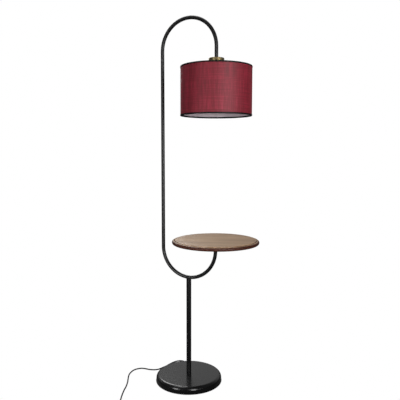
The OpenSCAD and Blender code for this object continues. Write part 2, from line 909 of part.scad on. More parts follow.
// The coil winds in for half its turns, climbs one layer and winds out again on top
function coil_radius(t) = coil_r - layer_step * (coil_turns / 2 - abs(t - coil_turns / 2));
function coil_climb(t) =
    let (s = min(max((t - coil_turns / 2) * 2 + 0.5, 0), 1)) layer_step * (1 - cos(180 * s)) / 2;
function coil_route() =
    let (steps = 24)
    concat(
        [[0, 0, coil_z]],
        [for (k = [0:steps * coil_turns])
            let (t = k / steps, r = coil_radius(t))
            [straight + r * sin(360 * t), r * cos(360 * t) - coil_r, coil_z + coil_climb(t)]],
        [[2 * straight, 0, coil_z + layer_step]]
    );

// Least distance between points that lie at least the given number of points apart, less the tube
function least_gap(p, apart) = min([
    for (i = [0:len(p) - 1 - apart], k = [i + apart:len(p) - 1]) norm(p[k] - p[i])
]) - flex_d;

module flex_coil() {
    route = coil_route();
    echo(least_gap_of_coil = least_gap(route, 12));
    color("#161616") on_line(coil_from) swept(route, flex_d, 6);
}

module coil_tie() {
    spread = layer_step * (coil_turns - 1) / 2;
    inner_h = layer_step + flex_d + 4 * fit;
    inner_w = spread + flex_d + 2 * tie_gap;
    mid_r = coil_r - layer_step / 2 - spread / 2;
    color("#3a3a3a")
        on_line(coil_from + straight)
            translate([0, -coil_r - mid_r, tie_t])
                difference() {
                    translate([-tie_w / 2, -inner_w / 2 - tie_t, -tie_t])
                        cube([tie_w, inner_w + 2 * tie_t, inner_h + 2 * tie_t]);
                    translate([-tie_w, -inner_w / 2, 0]) cube([2 * tie_w, inner_w, inner_h]);
                }
}

module flex_tail() {
    color("#161616")
        on_line(tail_from)
            swept(stepped(tail_l, [coil_z + layer_step, rest_z, plug_flex_z], 3), flex_d, flex_sides);
}

// ---------- foot switch ----------

// A tapered sleeve round the flex, from its thick end at the origin out along -X
module flex_sleeve(l, root_d) {
    rotate([0, -90, 0]) cylinder(h = l, d1 = root_d, d2 = sleeve_tip_d);
}

module sleeve_places() {
    for (turn = [0, 180])
        rotate([0, 0, turn]) translate([-switch_l / 2, 0, switch_flex_z]) children();
}

module case_screw_places() {
    for (side = [-1, 1]) translate([side * (switch_l / 2 - switch_w / 3), 0, 0]) children();
}

// The room inside the housing, with the screw posts left standing in it
module switch_room(from, to) {
    difference() {
        translate([0, 0, from])
            linear_extrude(to - from) stadium(switch_l - 2 * switch_wall, switch_w - 2 * switch_wall);
        case_screw_places() cylinder(h = switch_h, d = 3 * case_screw_d);
    }
}

// The holes that both halves of the housing share
module switch_holes() {
    sleeve_places()
        rotate([0, 90, 0])
            translate([0, 0, -past]) cylinder(h = switch_wall + 2 * past, d = sleeve_d + 2 * fit);
    case_screw_places() {
        translate([0, 0, -past]) cylinder(h = switch_h - switch_wall + past, d = case_screw_d + 2 * fit);
        translate([0, 0, -past]) cylinder(h = past + case_head_h, d = 2 * case_screw_d + 2 * fit);
    }
}

module switch_base() {
    color("#1d1d1e")
        on_line(switch_at)
            difference() {
                linear_extrude(switch_split) stadium(switch_l, switch_w);
                switch_room(switch_wall, switch_split + past);
                switch_holes();
            }
}

module switch_cover() {
    color("#1d1d1e")
        on_line(switch_at)
            difference() {
                translate([0, 0, switch_split])
                    linear_extrude(switch_h - switch_split) stadium(switch_l, switch_w);
                switch_room(switch_split - past, switch_h - switch_wall);
                switch_holes();
                cylinder(h = switch_h + past, d = button_d + 6 * fit);
            }
}

module switch_sleeves() {
    color("#161616")
        on_line(switch_at)
            sleeve_places() {
                flex_sleeve(sleeve_out, sleeve_d);
                rotate([0, 90, 0]) cylinder(h = switch_wall + past, d = sleeve_d);
            }
}

module switch_screws() {
    color("#b4b6b8")
        on_line(switch_at)
            case_screw_places() {
                translate([0, 0, fit]) cylinder(h = case_head_h - fit, d = 2 * case_screw_d);
                translate([0, 0, fit]) cylinder(h = switch_h - switch_wall - past, d = case_screw_d);
            }
}

module switch_module() {
    color("#e6e2d8")
        on_line(switch_at)
            translate([0, 0, switch_wall + fit]) {
                translate([-module_l / 2, -module_w / 2, 0]) cube([module_l, module_w, module_h]);
                cylinder(h = button_low_z - button_travel - switch_wall - 3 * fit, d = plunger_d);
            }
}

module switch_button() {
    color("#2a2a2b")
        on_line(switch_at)
            translate([0, 0, button_low_z]) {
                cylinder(h = switch_h + button_h - button_low_z, d = button_d);
                cylinder(h = button_flange, d = button_d + 2 * button_flange);
            }
}

// ---------- plug ----------

// Round corners of the plug's outline: at its neck, at its middle and at its face
module plug_corners() {
    neck = flex_d / 2 + plug_corner_r;
    broad = plug_w / 2 - plug_corner_r;
    centres = [[plug_corner_r, neck / 2], [plug_l / 2, broad], [plug_l - plug_corner_r, broad]];
    for (at = centres)
        for (side = [-1, 1])
            translate([sleeve_out + at.x, side * at.y]) circle(r = plug_corner_r, $fn = 32);
}

module plug_body() {
    color("#161616")
        on_line(plug_at)
            difference() {
                union() {
                    linear_extrude(plug_h) hull() plug_corners();
                    translate([sleeve_out + plug_corner_r, 0, plug_flex_z])
                        flex_sleeve(sleeve_out + plug_corner_r, plug_h - 2);
                }
                pin_places() cylinder(h = pin_root + past, d = pin_d + pin_shoulder + fit / 2);
            }
}

// The axes of the two pins, from the bottom of their seats
module pin_places() {
    for (side = [-1, 1])
        translate([sleeve_out + plug_l - pin_root, side * pin_pitch / 2, plug_flex_z])
            rotate([0, 90, 0]) children();
}

module plug_pins() {
    color("#c9cbcd")
        on_line(plug_at)
            pin_places() {
                cylinder(h = pin_root, d = pin_d + pin_shoulder);
                cylinder(h = pin_root + pin_l, d = pin_d);
            }
}

base_pad();
base_plate();
base_weight();
base_cover();
base_screws();
cord_gland();
cord_clamp();
clamp_screws();
pole();
pole_bush();
pole_nipple();
pole_washer();
pole_nut();
lower_hoop();
hoop_sleeve();
upper_hoop();
table_flange();
table_screws();
table_top();
inner_cable();
arm_bush();
holder_nipple();
holder_cup();
holder_nut();
holder_cap();
holder_body();
holder_core();
socket_shell();
upper_collar();
lower_collar();
shade_carrier();
shade_bottom_ring();
shade_liner();
shade_fabric();
shade_top_trim();
shade_bottom_trim();
bulb_cap();
bulb_housing();
bulb_globe();
flex_lead();
switch_base();
switch_cover();
switch_module();
switch_sleeves();
switch_button();
switch_screws();
flex_link();
flex_coil();
coil_tie();
flex_tail();
plug_body();
plug_pins();
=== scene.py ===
"""Floor lamp with a round table: the visual model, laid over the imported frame.

The origin lies under the middle of the base, +Z is up, and the table and the shade stand to the
+X side of the pole. Shapes are drawn in millimetres, and Workshop.piece turns them into Blender's
metres. The camera, the lights and the textures are in metres.
"""

from __future__ import annotations

import json
import logging
import math
from dataclasses import dataclass
from enum import Enum
from typing import Callable, Iterable, Sequence

import bmesh
import bpy
from mathutils import Matrix, Vector
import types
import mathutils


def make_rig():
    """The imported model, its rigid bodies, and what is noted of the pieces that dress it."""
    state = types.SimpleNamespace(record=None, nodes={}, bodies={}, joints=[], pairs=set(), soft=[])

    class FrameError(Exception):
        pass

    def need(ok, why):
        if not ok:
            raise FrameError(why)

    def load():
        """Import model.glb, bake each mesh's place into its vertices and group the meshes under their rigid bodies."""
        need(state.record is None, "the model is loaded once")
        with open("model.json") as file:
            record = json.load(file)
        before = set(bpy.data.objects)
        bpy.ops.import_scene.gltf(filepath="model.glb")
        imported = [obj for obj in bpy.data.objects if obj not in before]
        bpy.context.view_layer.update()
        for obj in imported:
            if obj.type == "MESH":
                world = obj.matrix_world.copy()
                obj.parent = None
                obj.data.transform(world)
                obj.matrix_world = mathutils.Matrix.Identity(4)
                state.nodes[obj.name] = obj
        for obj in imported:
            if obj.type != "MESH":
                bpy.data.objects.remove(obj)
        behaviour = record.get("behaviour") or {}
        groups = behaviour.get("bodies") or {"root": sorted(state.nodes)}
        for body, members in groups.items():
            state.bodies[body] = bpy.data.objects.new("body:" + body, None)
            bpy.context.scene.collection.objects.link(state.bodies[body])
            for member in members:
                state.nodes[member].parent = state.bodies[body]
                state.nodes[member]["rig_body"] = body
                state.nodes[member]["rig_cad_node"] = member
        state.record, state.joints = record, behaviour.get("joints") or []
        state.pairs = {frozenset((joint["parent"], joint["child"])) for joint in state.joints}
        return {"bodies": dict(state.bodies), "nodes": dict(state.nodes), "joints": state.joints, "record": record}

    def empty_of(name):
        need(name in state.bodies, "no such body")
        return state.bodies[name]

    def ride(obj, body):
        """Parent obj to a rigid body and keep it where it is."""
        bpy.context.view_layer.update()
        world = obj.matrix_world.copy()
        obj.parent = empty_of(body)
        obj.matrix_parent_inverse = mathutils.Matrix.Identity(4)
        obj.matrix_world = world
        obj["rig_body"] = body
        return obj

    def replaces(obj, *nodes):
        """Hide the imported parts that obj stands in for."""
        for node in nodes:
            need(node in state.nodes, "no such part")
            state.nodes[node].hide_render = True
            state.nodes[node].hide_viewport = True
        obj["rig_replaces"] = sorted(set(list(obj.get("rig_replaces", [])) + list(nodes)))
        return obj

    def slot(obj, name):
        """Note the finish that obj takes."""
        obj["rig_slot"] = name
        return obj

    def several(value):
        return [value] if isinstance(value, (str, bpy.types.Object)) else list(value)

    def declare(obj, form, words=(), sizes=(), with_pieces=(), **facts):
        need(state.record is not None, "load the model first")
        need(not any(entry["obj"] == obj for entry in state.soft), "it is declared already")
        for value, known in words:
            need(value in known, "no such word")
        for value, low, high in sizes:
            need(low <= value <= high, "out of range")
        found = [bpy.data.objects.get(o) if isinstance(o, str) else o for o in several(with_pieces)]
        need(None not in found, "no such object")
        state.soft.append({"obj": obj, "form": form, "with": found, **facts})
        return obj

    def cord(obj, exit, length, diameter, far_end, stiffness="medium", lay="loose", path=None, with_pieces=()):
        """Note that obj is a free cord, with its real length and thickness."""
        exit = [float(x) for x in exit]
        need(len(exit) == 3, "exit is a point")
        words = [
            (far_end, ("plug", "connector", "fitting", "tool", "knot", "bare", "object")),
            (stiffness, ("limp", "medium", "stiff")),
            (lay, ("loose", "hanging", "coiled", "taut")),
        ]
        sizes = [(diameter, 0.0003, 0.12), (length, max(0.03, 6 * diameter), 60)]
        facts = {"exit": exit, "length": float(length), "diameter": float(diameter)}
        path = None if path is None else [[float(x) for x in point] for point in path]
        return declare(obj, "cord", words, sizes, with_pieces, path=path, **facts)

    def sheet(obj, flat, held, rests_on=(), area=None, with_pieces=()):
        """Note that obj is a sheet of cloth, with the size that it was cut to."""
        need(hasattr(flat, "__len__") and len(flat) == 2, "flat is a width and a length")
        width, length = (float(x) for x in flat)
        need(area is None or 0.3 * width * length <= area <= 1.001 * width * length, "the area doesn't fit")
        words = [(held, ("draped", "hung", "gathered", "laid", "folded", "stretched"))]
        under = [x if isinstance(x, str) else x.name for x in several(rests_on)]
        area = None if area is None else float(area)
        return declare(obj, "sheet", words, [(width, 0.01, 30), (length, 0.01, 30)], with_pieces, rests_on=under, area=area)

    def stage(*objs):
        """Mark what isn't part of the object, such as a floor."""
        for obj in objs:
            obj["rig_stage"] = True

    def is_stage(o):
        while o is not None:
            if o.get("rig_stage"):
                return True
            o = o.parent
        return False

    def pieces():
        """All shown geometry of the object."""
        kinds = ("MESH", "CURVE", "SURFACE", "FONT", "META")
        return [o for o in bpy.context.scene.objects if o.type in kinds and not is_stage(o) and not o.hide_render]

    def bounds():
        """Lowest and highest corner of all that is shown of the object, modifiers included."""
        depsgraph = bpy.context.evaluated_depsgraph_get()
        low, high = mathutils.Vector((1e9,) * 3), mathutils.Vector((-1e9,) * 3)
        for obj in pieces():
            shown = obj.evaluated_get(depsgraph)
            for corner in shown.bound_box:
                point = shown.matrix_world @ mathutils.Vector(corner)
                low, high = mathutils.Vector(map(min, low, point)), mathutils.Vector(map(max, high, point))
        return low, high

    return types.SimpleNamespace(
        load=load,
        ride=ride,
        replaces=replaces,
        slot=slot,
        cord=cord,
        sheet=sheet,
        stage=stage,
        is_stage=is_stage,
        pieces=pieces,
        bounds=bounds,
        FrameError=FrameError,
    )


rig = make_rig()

Point = Sequence[float]
Corner = tuple[float, float, float]
Rows = list[list[Vector]]
Piece = bpy.types.Object
Material = bpy.types.Material
Socket = bpy.types.NodeSocket
Tree = bpy.types.NodeTree

MM = 0.001
# Points nearer to each other than this are one point.
SAME = 1e-4
# The hoop's bends, its tube, and the hole round each of the lamp's two nipples.
HOOP_R = 132
TUBE_R = 8
TUBE_WALL = 1.5
BORE_R = 5.1
# How the flex leaves the base, where its lead ends and how it runs on, and how high it lies.
EXIT_TURN = math.radians(125)
LEAD_END = Vector((-80, -340, 6))
SPARE_TURN = math.radians(28)
FLOOR_LIE = 3.1


class Body(str, Enum):
    """The moving bodies of the frame."""

    LAMP = "lamp"
    BUTTON = "button"


class Slot(str, Enum):
    """The record's material slots."""

    BLACK_PAINT = "black_paint"
    WALNUT = "walnut"
    ANTIQUE_BRASS = "antique_brass"
    YELLOW_BRASS = "yellow_brass"
    FABRIC = "burgundy_fabric"
    RIBBON = "black_ribbon"
    LINER = "shade_liner_film"
    WHITE_PAINT = "white_paint"
    OPAL_GLASS = "opal_glass"
    WHITE_PLASTIC = "white_plastic"
    NICKEL = "nickel_cap"
    CERAMIC = "ceramic"
    HOLDER_PLASTIC = "holder_plastic"
    CAST_IRON = "cast_iron"
    ZINC = "zinc_steel"
    SCREW_STEEL = "screw_steel"
    FELT = "felt"
    BLACK_PLASTIC = "black_plastic"
    BUTTON_PLASTIC = "button_plastic"
    RUBBER = "black_rubber"
    STRAP = "tie_strap"
    PINS = "plated_pins"


# ---------- camera ----------


@dataclass(frozen=True)
class Viewpoint:
    """Where the photograph was taken from, in metres, and how the camera was turned.

    Attributes:
        distance: From the pole.
        height: Above the floor.
        azimuth: From the -Y side of the pole towards +X.
        pan: How far it looks past the pole.
        pitch: How far it looks down.
        roll: How far it is tilted.
        lens: Focal length in millimetres.
        sensor: Width of its sensor in millimetres.
    """

    distance: float = 2.215
    height: float = 1.0334
    azimuth: float = math.radians(28)
    pan: float = math.radians(-1.289)
    pitch: float = math.radians(5.256)
    roll: float = math.radians(0.091)
    lens: float = 45.0
    sensor: float = 36.0

    def build(self) -> None:
        """Makes the camera and hands it to the scene."""
        data = bpy.data.cameras.new("photo_camera")
        data.lens = self.lens
        data.sensor_width = self.sensor
        camera = show("photo_camera", data)
        turn = self.azimuth + self.pan
        level = math.cos(self.pitch)
        forward = Vector((-math.sin(turn) * level, math.cos(turn) * level, -math.sin(self.pitch)))
        right = Vector((math.cos(turn), math.sin(turn), 0))
        up = right.cross(forward)
        rolled_right = right * math.cos(self.roll) + up * math.sin(self.roll)
        rolled_up = up * math.cos(self.roll) - right * math.sin(self.roll)
        axes = Matrix((rolled_right, rolled_up, -forward)).transposed().to_4x4()
        camera.matrix_world = at(stand(self.azimuth, self.distance, self.height)) @ axes
        bpy.context.scene.camera = camera


def show(name: str, data: bpy.types.ID) -> Piece:
    """Puts an object with some data in the scene.

    Args:
        name: The object's name.
        data: Its mesh, light or camera.

    Returns:
        The object.
    """
    obj = bpy.data.objects.new(name, data)
    bpy.context.scene.collection.objects.link(obj)
    return obj


def stand(azimuth: float, reach: float, height: float) -> Vector:
    """A place round the lamp, turned from its -Y side towards +X."""
    return Vector((reach * math.sin(azimuth), -reach * math.cos(azimuth), height))


def at(point: Point) -> Matrix:
    """A move to a point."""
    return Matrix.Translation(Vector(point))


def spun(degrees: float, axis: str = "Z") -> Matrix:
    """A turn about an axis."""
    return Matrix.Rotation(math.radians(degrees), 4, axis)


UNMOVED = Matrix.Identity(4)


# ---------- shapes ----------


class Shape:
    """Points, faces and face-corner UVs that become one mesh."""

    def __init__(self) -> None:
        """Starts empty."""
        self.points: list[Vector] = []
        self.faces: list[tuple[int, ...]] = []
        self.uvs: list[Point] = []

    def skin(self, rows: Rows, loop: bool = False, ends: bool = True) -> Shape:
        """Joins rings of points with quads, with UVs that follow their lengths.

        Args:
            rows: Rings with the same number of points each.
            loop: Whether the last ring joins the first.
            ends: Whether the first and last rings are closed with a face.

        Returns:
            The shape itself.
        """
        base, count = len(self.points), len(rows[0])
        across = distances(max(rows, key=lambda row: distances(row)[-1]), True)
        along = distances([row[0] for row in rows], loop)
        for row in rows:
            self.points.extend(row)
        for j in range(len(rows) if loop else len(rows) - 1):
            here, there = base + j * count, base + (j + 1) % len(rows) * count
            for k in range(count):
                after = (k + 1) % count
                self.faces.append((here + k, here + after, there + after, there + k))
                left, right, low, high = across[k], across[k + 1], along[j], along[j + 1]
                self.uvs += [(left, low), (right, low), (right, high), (left, high)]
        if ends and not loop:
            for start in (base, base + (len(rows) - 1) * count):
                self.faces.append(tuple(range(start, start + count)))
                self.uvs += [self.points[start + k].xy for k in range(count)]
        return self

    def fan(self, row: list[Vector], tip: Vector) -> None:
        """Closes a ring of points with triangles that meet in a tip."""
        base, count = len(self.points), len(row)
        self.points += [*row, tip]
        for k in range(count):
            after = (k + 1) % count
            self.faces.append((base + k, base + after, base + count))
            self.uvs += [row[k].xy, row[after].xy, tip.xy]

    def moved(self, matrix: Matrix) -> Shape:
        """Moves every point."""
        self.points = [matrix @ point for point in self.points]
        return self

    def joined(self, other: Shape) -> Shape:
        """Takes in another shape."""
        base = len(self.points)
        self.points += other.points
        self.faces += [tuple(base + k for k in face) for face in other.faces]
        self.uvs += other.uvs
        return self

    def mesh(self, name: str) -> bpy.types.Mesh:
        """Makes the mesh, still in millimetres, with UVs in metres.

        Args:
            name: The mesh's name.

        Returns:
            The mesh, with doubled points welded and every normal outward.
        """
        mesh = bpy.data.meshes.new(name)
        mesh.from_pydata([tuple(point) for point in self.points], [], self.faces)
        layer = mesh.uv_layers.new(name="UVMap")
        for loop, uv in zip(layer.data, self.uvs):
            loop.uv = Vector(uv) * MM
        work = bmesh.new()
        work.from_mesh(mesh)
        bmesh.ops.remove_doubles(work, verts=work.verts, dist=SAME)
        bmesh.ops.recalc_face_normals(work, faces=work.faces)
        work.to_mesh(mesh)
        work.free()
        return mesh


def vectors(*places: Point) -> list[Vector]:
    """Vectors of some places."""
    return [Vector(place) for place in places]


def distances(points: Sequence[Vector], closed: bool = False) -> list[float]:
    """Distances from the first point along a line of points."""
    total = [0.0]
    for a, b in zip(points, [*points[1:], *([points[0]] if closed else [])]):
        total.append(total[-1] + (b - a).length)
    return total


def rounded(corners: Sequence[Corner], steps: int = 5, closed: bool = True) -> list[Vector]:
    """Makes an outline with rounded corners.

    Args:
        corners: Each corner's x, y and radius.
        steps: Pieces in each rounding.
        closed: Whether the last corner joins the first.

    Returns:
        The outline's points.
    """
    points: list[Vector] = []
    for i, (x, y, radius) in enumerate(corners):
        corner = Vector((x, y))
        if radius <= 0 or (not closed and i in (0, len(corners) - 1)):
            points.append(corner)
            continue
        before = (Vector(corners[i - 1][:2]) - corner).normalized()
        after = (Vector(corners[(i + 1) % len(corners)][:2]) - corner).normalized()
        half = before.angle(after) / 2
        centre = corner + (before + after).normalized() * radius / math.sin(half)
        start = corner + before * radius / math.tan(half) - centre
        end = corner + after * radius / math.tan(half) - centre
        turn = math.atan2(start.x * end.y - start.y * end.x, start.dot(end))
        for k in range(steps + 1):
            points.append(centre + Matrix.Rotation(turn * k / steps, 2) @ start)
    return points


def between(start: float, end: float, steps: int) -> list[float]:
    """Evenly spaced values, with both ends."""
    return [start + (end - start) * k / steps for k in range(steps + 1)]


def polar(radius: float, turn: float, z: float) -> Vector:
    """A point at a radius and a turn round the Z axis."""
    return Vector((radius * math.cos(turn), radius * math.sin(turn), z))


def arc(x: float, y: float, radius: float, start: float, end: float, steps: int) -> list[Vector]:
    """Points on an arc round x and y, with its angles in degrees."""
    turns = [math.radians(turn) for turn in between(start, end, steps)]
    return [Vector((x + radius * math.cos(t), y + radius * math.sin(t))) for t in turns]


def circle(radius: float, z: float, sides: int) -> list[Vector]:
    """A level ring of points round the Z axis."""
    return [polar(radius, 2 * math.pi * k / sides, z) for k in range(sides)]


def disc(radius: float, sides: int) -> list[Vector]:
    """A round section."""
    return [point.xy for point in circle(radius, 0, sides)]


def stadium(length: float, width: float, inset: float, z: float, half: int = 24) -> list[Vector]:
    """Makes a level ring of points on a stadium.

    Args:
        length: From end to end along X.
        width: Across the straight sides.
        inset: How far the ring is drawn in.
        z: Its height.
        half: Pieces in each round end.

    Returns:
        The ring's points.
    """
    shift = (length - width) / 2
    points = []
    for side, start in ((1, -90), (-1, 90)):
        for p in arc(side * shift, 0, width / 2 - inset, start, start + 180, half):
            points.append(Vector((p.x, p.y, z)))
    return points


def revolve(profile: Sequence[Vector], sides: int, loop: bool = True) -> Shape:
    """Turns a profile round the Z axis.

    Args:
        profile: Its radii and heights; a point on the axis closes an end of an open profile.
        sides: Pieces in the full turn.
        loop: Whether the profile is closed.

    Returns:
        The turned shape.
    """
    shape = Shape()
    rows = [circle(p.x, p.y, sides) for p in profile if p.x > SAME]
    shape.skin(rows, loop=loop, ends=False)
    if not loop:
        for tip, row in ((profile[0], rows[0]), (profile[-1], rows[-1])):
            if tip.x <= SAME:
                shape.fan(row, Vector((0, 0, tip.y)))
    return shape


def frames(path: Sequence[Vector], side: Vector, closed: bool) -> list[tuple[Vector, Vector]]:
    """Finds two directions square to a path at each of its points, without twisting.

    Args:
        path: The path's points.
        side: The first direction at the start.
        closed: Whether the path's end meets its start.

    Returns:
        The two directions at each point.
    """
    found: list[tuple[Vector, Vector]] = []
    last = len(path) - 1
    for i, point in enumerate(path):
        before = path[i - 1] if i or closed else point
        after = path[(i + 1) % len(path)] if i < last or closed else point
        heading = (after - before).normalized()
        side = (side - side.dot(heading) * heading).normalized()
        found.append((side, heading.cross(side)))
    return found


def sweep(
    path: Sequence[Vector],
    section: Sequence[Vector],
    side: Point = (0, 0, 1),
    scales: Sequence[float] | None = None,
    closed: bool = False,
) -> Shape:
    """Draws a section along a path.

    Args:
        path: The points that it follows.
        section: Points round the path, in its two square directions.
        side: The first of those directions at the start.
        scales: How large the section is at each point.
        closed: Whether the path's end meets its start.

    Returns:
        The swept shape.
    """
    sizes = scales or [1.0] * len(path)
    axes = frames(path, Vector(side), closed)
    rows = [
        [point + size * (p.x * a + p.y * b) for p in section]
        for point, size, (a, b) in zip(path, sizes, axes)
    ]
    return Shape().skin(rows, loop=closed)


def pipe(path: Sequence[Vector], outer: float, inner: float, ease: float, sides: int) -> Shape:
    """Draws a hollow tube along a path, with its outer edges eased at both ends.

    Args:
        path: The points that its middle follows.
        outer: Its outer radius.
        inner: Its bore's radius.
        ease: How far the edges are cut back.
        sides: Pieces round it.

    Returns:
        The tube.
    """
    axes = frames(path, Vector((0, 1, 0)), False)
    ring = disc(1.0, sides)
    first = (path[0] - path[1]).normalized() * ease
    last = (path[-1] - path[-2]).normalized() * ease

    def rows(radius: float, short: float = 0.0, cut: float = 0.0) -> Rows:
        """Rings along the path, with the first and last ones stopped short or cut down."""
        places = [path[0] - short * first, *path[1:-1], path[-1] - short * last]
        sizes = [radius - cut, *[radius] * (len(path) - 2), radius - cut]
        return [
            [place + size * (p.x * a + p.y * b) for p in ring]
            for place, size, (a, b) in zip(places, sizes, axes)
        ]

    rims = rows(outer, cut=ease)
    outside = rows(outer, short=1.0)
    inside = rows(inner)
    return Shape().skin([rims[0], *outside, rims[-1], *reversed(inside)], loop=True)


def smooth(points: Sequence[Vector], steps: int) -> list[Vector]:
    """Draws a smooth line through points.

    Args:
        points: The points that it passes.
        steps: Pieces between each two of them.

    Returns:
        The line's points.
    """
    line: list[Vector] = []
    count = len(points)
    for i in range(count - 1):
        a, b = points[i], points[i + 1]
        leave = (b - points[i - 1]) / 2 if i else b - a
        arrive = (points[i + 2] - a) / 2 if i + 2 < count else b - a
        for k in range(steps):
            t = k / steps
            line.append(
                (2 * t**3 - 3 * t**2 + 1) * a
                + (t**3 - 2 * t**2 + t) * leave
                + (3 * t**2 - 2 * t**3) * b
                + (t**3 - t**2) * arrive
            )
    return [*line, points[-1]]


def threaded(radius: float, wall: float, low: float, high: float, pitch: float, depth: float) -> Shape:
    """Makes a thin shell with a round thread pressed into it.

    Args:
        radius: Its outer radius.
        wall: Its thickness.
        low: Height of its lower end.
        high: Height of its upper end.
        pitch: The thread's pitch.
        depth: The thread's depth.

    Returns:
        The shell.
    """
    sides, per_turn = 64, 12
    count = int((high - low) / pitch * per_turn)

    def ring(z: float, inset: float) -> list[Vector]:
        """One ring of the shell, where the thread fades out at both ends."""
        points = []
        fade = min((z - low) / pitch, (high - z) / pitch, 1.0)
        for k in range(sides):
            turn = 2 * math.pi * k / sides
            wave = 0.5 + 0.5 * math.cos(2 * math.pi * z / pitch - turn)
            points.append(polar(radius - inset - depth * fade * wave, turn, z))
        return points

    heights = between(low, high, count)
    outside = [ring(z, 0) for z in heights]
    inside = [ring(z, wall) for z in reversed(heights)]
    return Shape().skin([*outside, *inside], loop=True)


def screw_head(radius: float, height: float) -> Shape:
    """Makes a pan head with a cross recess, turned head down under Z = 0.

    Args:
        radius: The head's radius.
        height: The head's height.

    Returns:
        The head.
    """
    sides, reach, half = 48, radius * 0.62, radius * 0.16
    flank, dome, brim = 0.45, 0.5, 0.72
    rows = [circle(radius, 0, sides), circle(radius, height * flank, sides)]
    for k in range(1, 6):
        turn = math.radians(90 * k / 5.5)
        size = radius * (brim + (1 - brim) * math.cos(turn))
        rows.append(circle(size, height * (flank + dome * math.sin(turn)), sides))
    top = rows[-1][0].z

    def cross(scale: float, z: float) -> list[Vector]:
        """One ring of the recess."""
        points = []
        for k in range(sides):
            turn = 2 * math.pi * k / sides
            x, y = math.cos(turn), math.sin(turn)
            thin = min(abs(x), abs(y))
            size = min(reach / max(abs(x), abs(y)), half / max(thin, 1e-6)) * scale
            points.append(Vector((size * x, size * y, z)))
        return points

    rows += [cross(1.0, height), cross(0.95, height * 0.9), cross(0.55, top - height * 0.6)]
    return Shape().skin(rows).moved(spun(180, "X"))


def sleeve(length: float, root: float, tip: float, ribs: int) -> Shape:
    """Makes a ribbed strain relief, from its thick end at the origin out along -X.

    Args:
        length: Its length.
        root: Diameter of its thick end.
        tip: Diameter of its thin end.
        ribs: Number of ribs.

    Returns:
        The sleeve.
    """
    plain, groove = 2, 0.55
    profile = vectors((0, 0), (root / 2, 0), (root / 2, plain))
    pitch = (length - 2 * plain) / ribs
    for k in range(ribs):
        start = plain + k * pitch
        radius = (root + (tip - root) * start / length) / 2
        for share, cut in ((0.1, 0), (0.25, groove), (0.55, groove), (0.7, 0), (1.0, 0)):
            profile.append(Vector((radius - cut, start + share * pitch)))
    profile += vectors((tip / 2, length - 0.6), (tip / 2 - 0.5, length), (0, length))
    return revolve(profile, 32, False).moved(spun(-90, "Y"))


# ---------- repeated pieces ----------


class RadialArray:
    """Geometry nodes that repeat a mesh round the Z axis."""

    def __init__(self) -> None:
        """Makes the node group."""
        tree = bpy.data.node_groups.new("radial_array", "GeometryNodeTree")
        face = tree.interface
        self.sockets = {
            label: face.new_socket(label, in_out="INPUT", socket_type=kind).identifier
            for label, kind in (
                ("Geometry", "NodeSocketGeometry"),
                ("Count", "NodeSocketInt"),
                ("Material", "NodeSocketMaterial"),
            )
        }
        face.new_socket("Geometry", in_out="OUTPUT", socket_type="NodeSocketGeometry")
        source = add(tree, "NodeGroupInput").outputs
        index = add(tree, "GeometryNodeInputIndex").outputs[0]
        step = add(tree, "ShaderNodeMath", {0: 2 * math.pi, 1: source["Count"]}, operation="DIVIDE")
        turn = add(tree, "ShaderNodeMath", {0: step.outputs[0], 1: index}, operation="MULTIPLY")
        spin = add(tree, "ShaderNodeCombineXYZ", {"Z": turn.outputs[0]})
        points = add(tree, "GeometryNodePoints", {"Count": source["Count"]})
        inputs = {"Points": points.outputs[0], "Instance": source["Geometry"], "Rotation": spin.outputs[0]}
        spread = add(tree, "GeometryNodeInstanceOnPoints", inputs)
        real = add(tree, "GeometryNodeRealizeInstances", {"Geometry": spread.outputs[0]})
        inputs = {"Geometry": real.outputs[0], "Material": source["Material"]}
        paint = add(tree, "GeometryNodeSetMaterial", inputs)
        add(tree, "NodeGroupOutput", {"Geometry": paint.outputs[0]})
        self.tree = tree

    def mesh(self, one: Piece, count: int, material: Material) -> bpy.types.Mesh:
        """Repeats an object's mesh round the Z axis.

        Args:
            one: The object.
            count: How often its mesh stands round the axis.
            material: The material of the result.

        Returns:
            The mesh of all of them.
        """
        modifier = one.modifiers.new("radial", "NODES")
        modifier.node_group = self.tree
        modifier[self.sockets["Count"]] = count
        modifier[self.sockets["Material"]] = material
        shown = one.evaluated_get(bpy.context.evaluated_depsgraph_get())
        mesh = bpy.data.meshes.new_from_object(shown)
        one.modifiers.remove(modifier)
        return mesh


# ---------- materials ----------


def linear(code: str) -> tuple[float, float, float, float]:
    """Linear colour of an sRGB hex code."""
    parts = [int(code[i : i + 2], 16) / 255 for i in (1, 3, 5)]
    red, green, blue = (p / 12.92 if p <= 0.04045 else ((p + 0.055) / 1.055) ** 2.4 for p in parts)
    return (red, green, blue, 1.0)


def add(tree: Tree, kind: str, inputs: dict | None = None, **settings: object) -> bpy.types.Node:
    """Adds a node to a tree.

    Args:
        tree: The tree.
        kind: The node's type.
        inputs: Values or links for its inputs.
        settings: Values for its own settings.

    Returns:
        The node.
    """
    node = tree.nodes.new(kind)
    for name, value in settings.items():
        setattr(node, name, value)
    for name, value in (inputs or {}).items():
        if isinstance(value, Socket):
            tree.links.new(value, node.inputs[name])
        else:
            node.inputs[name].default_value = value
    return node


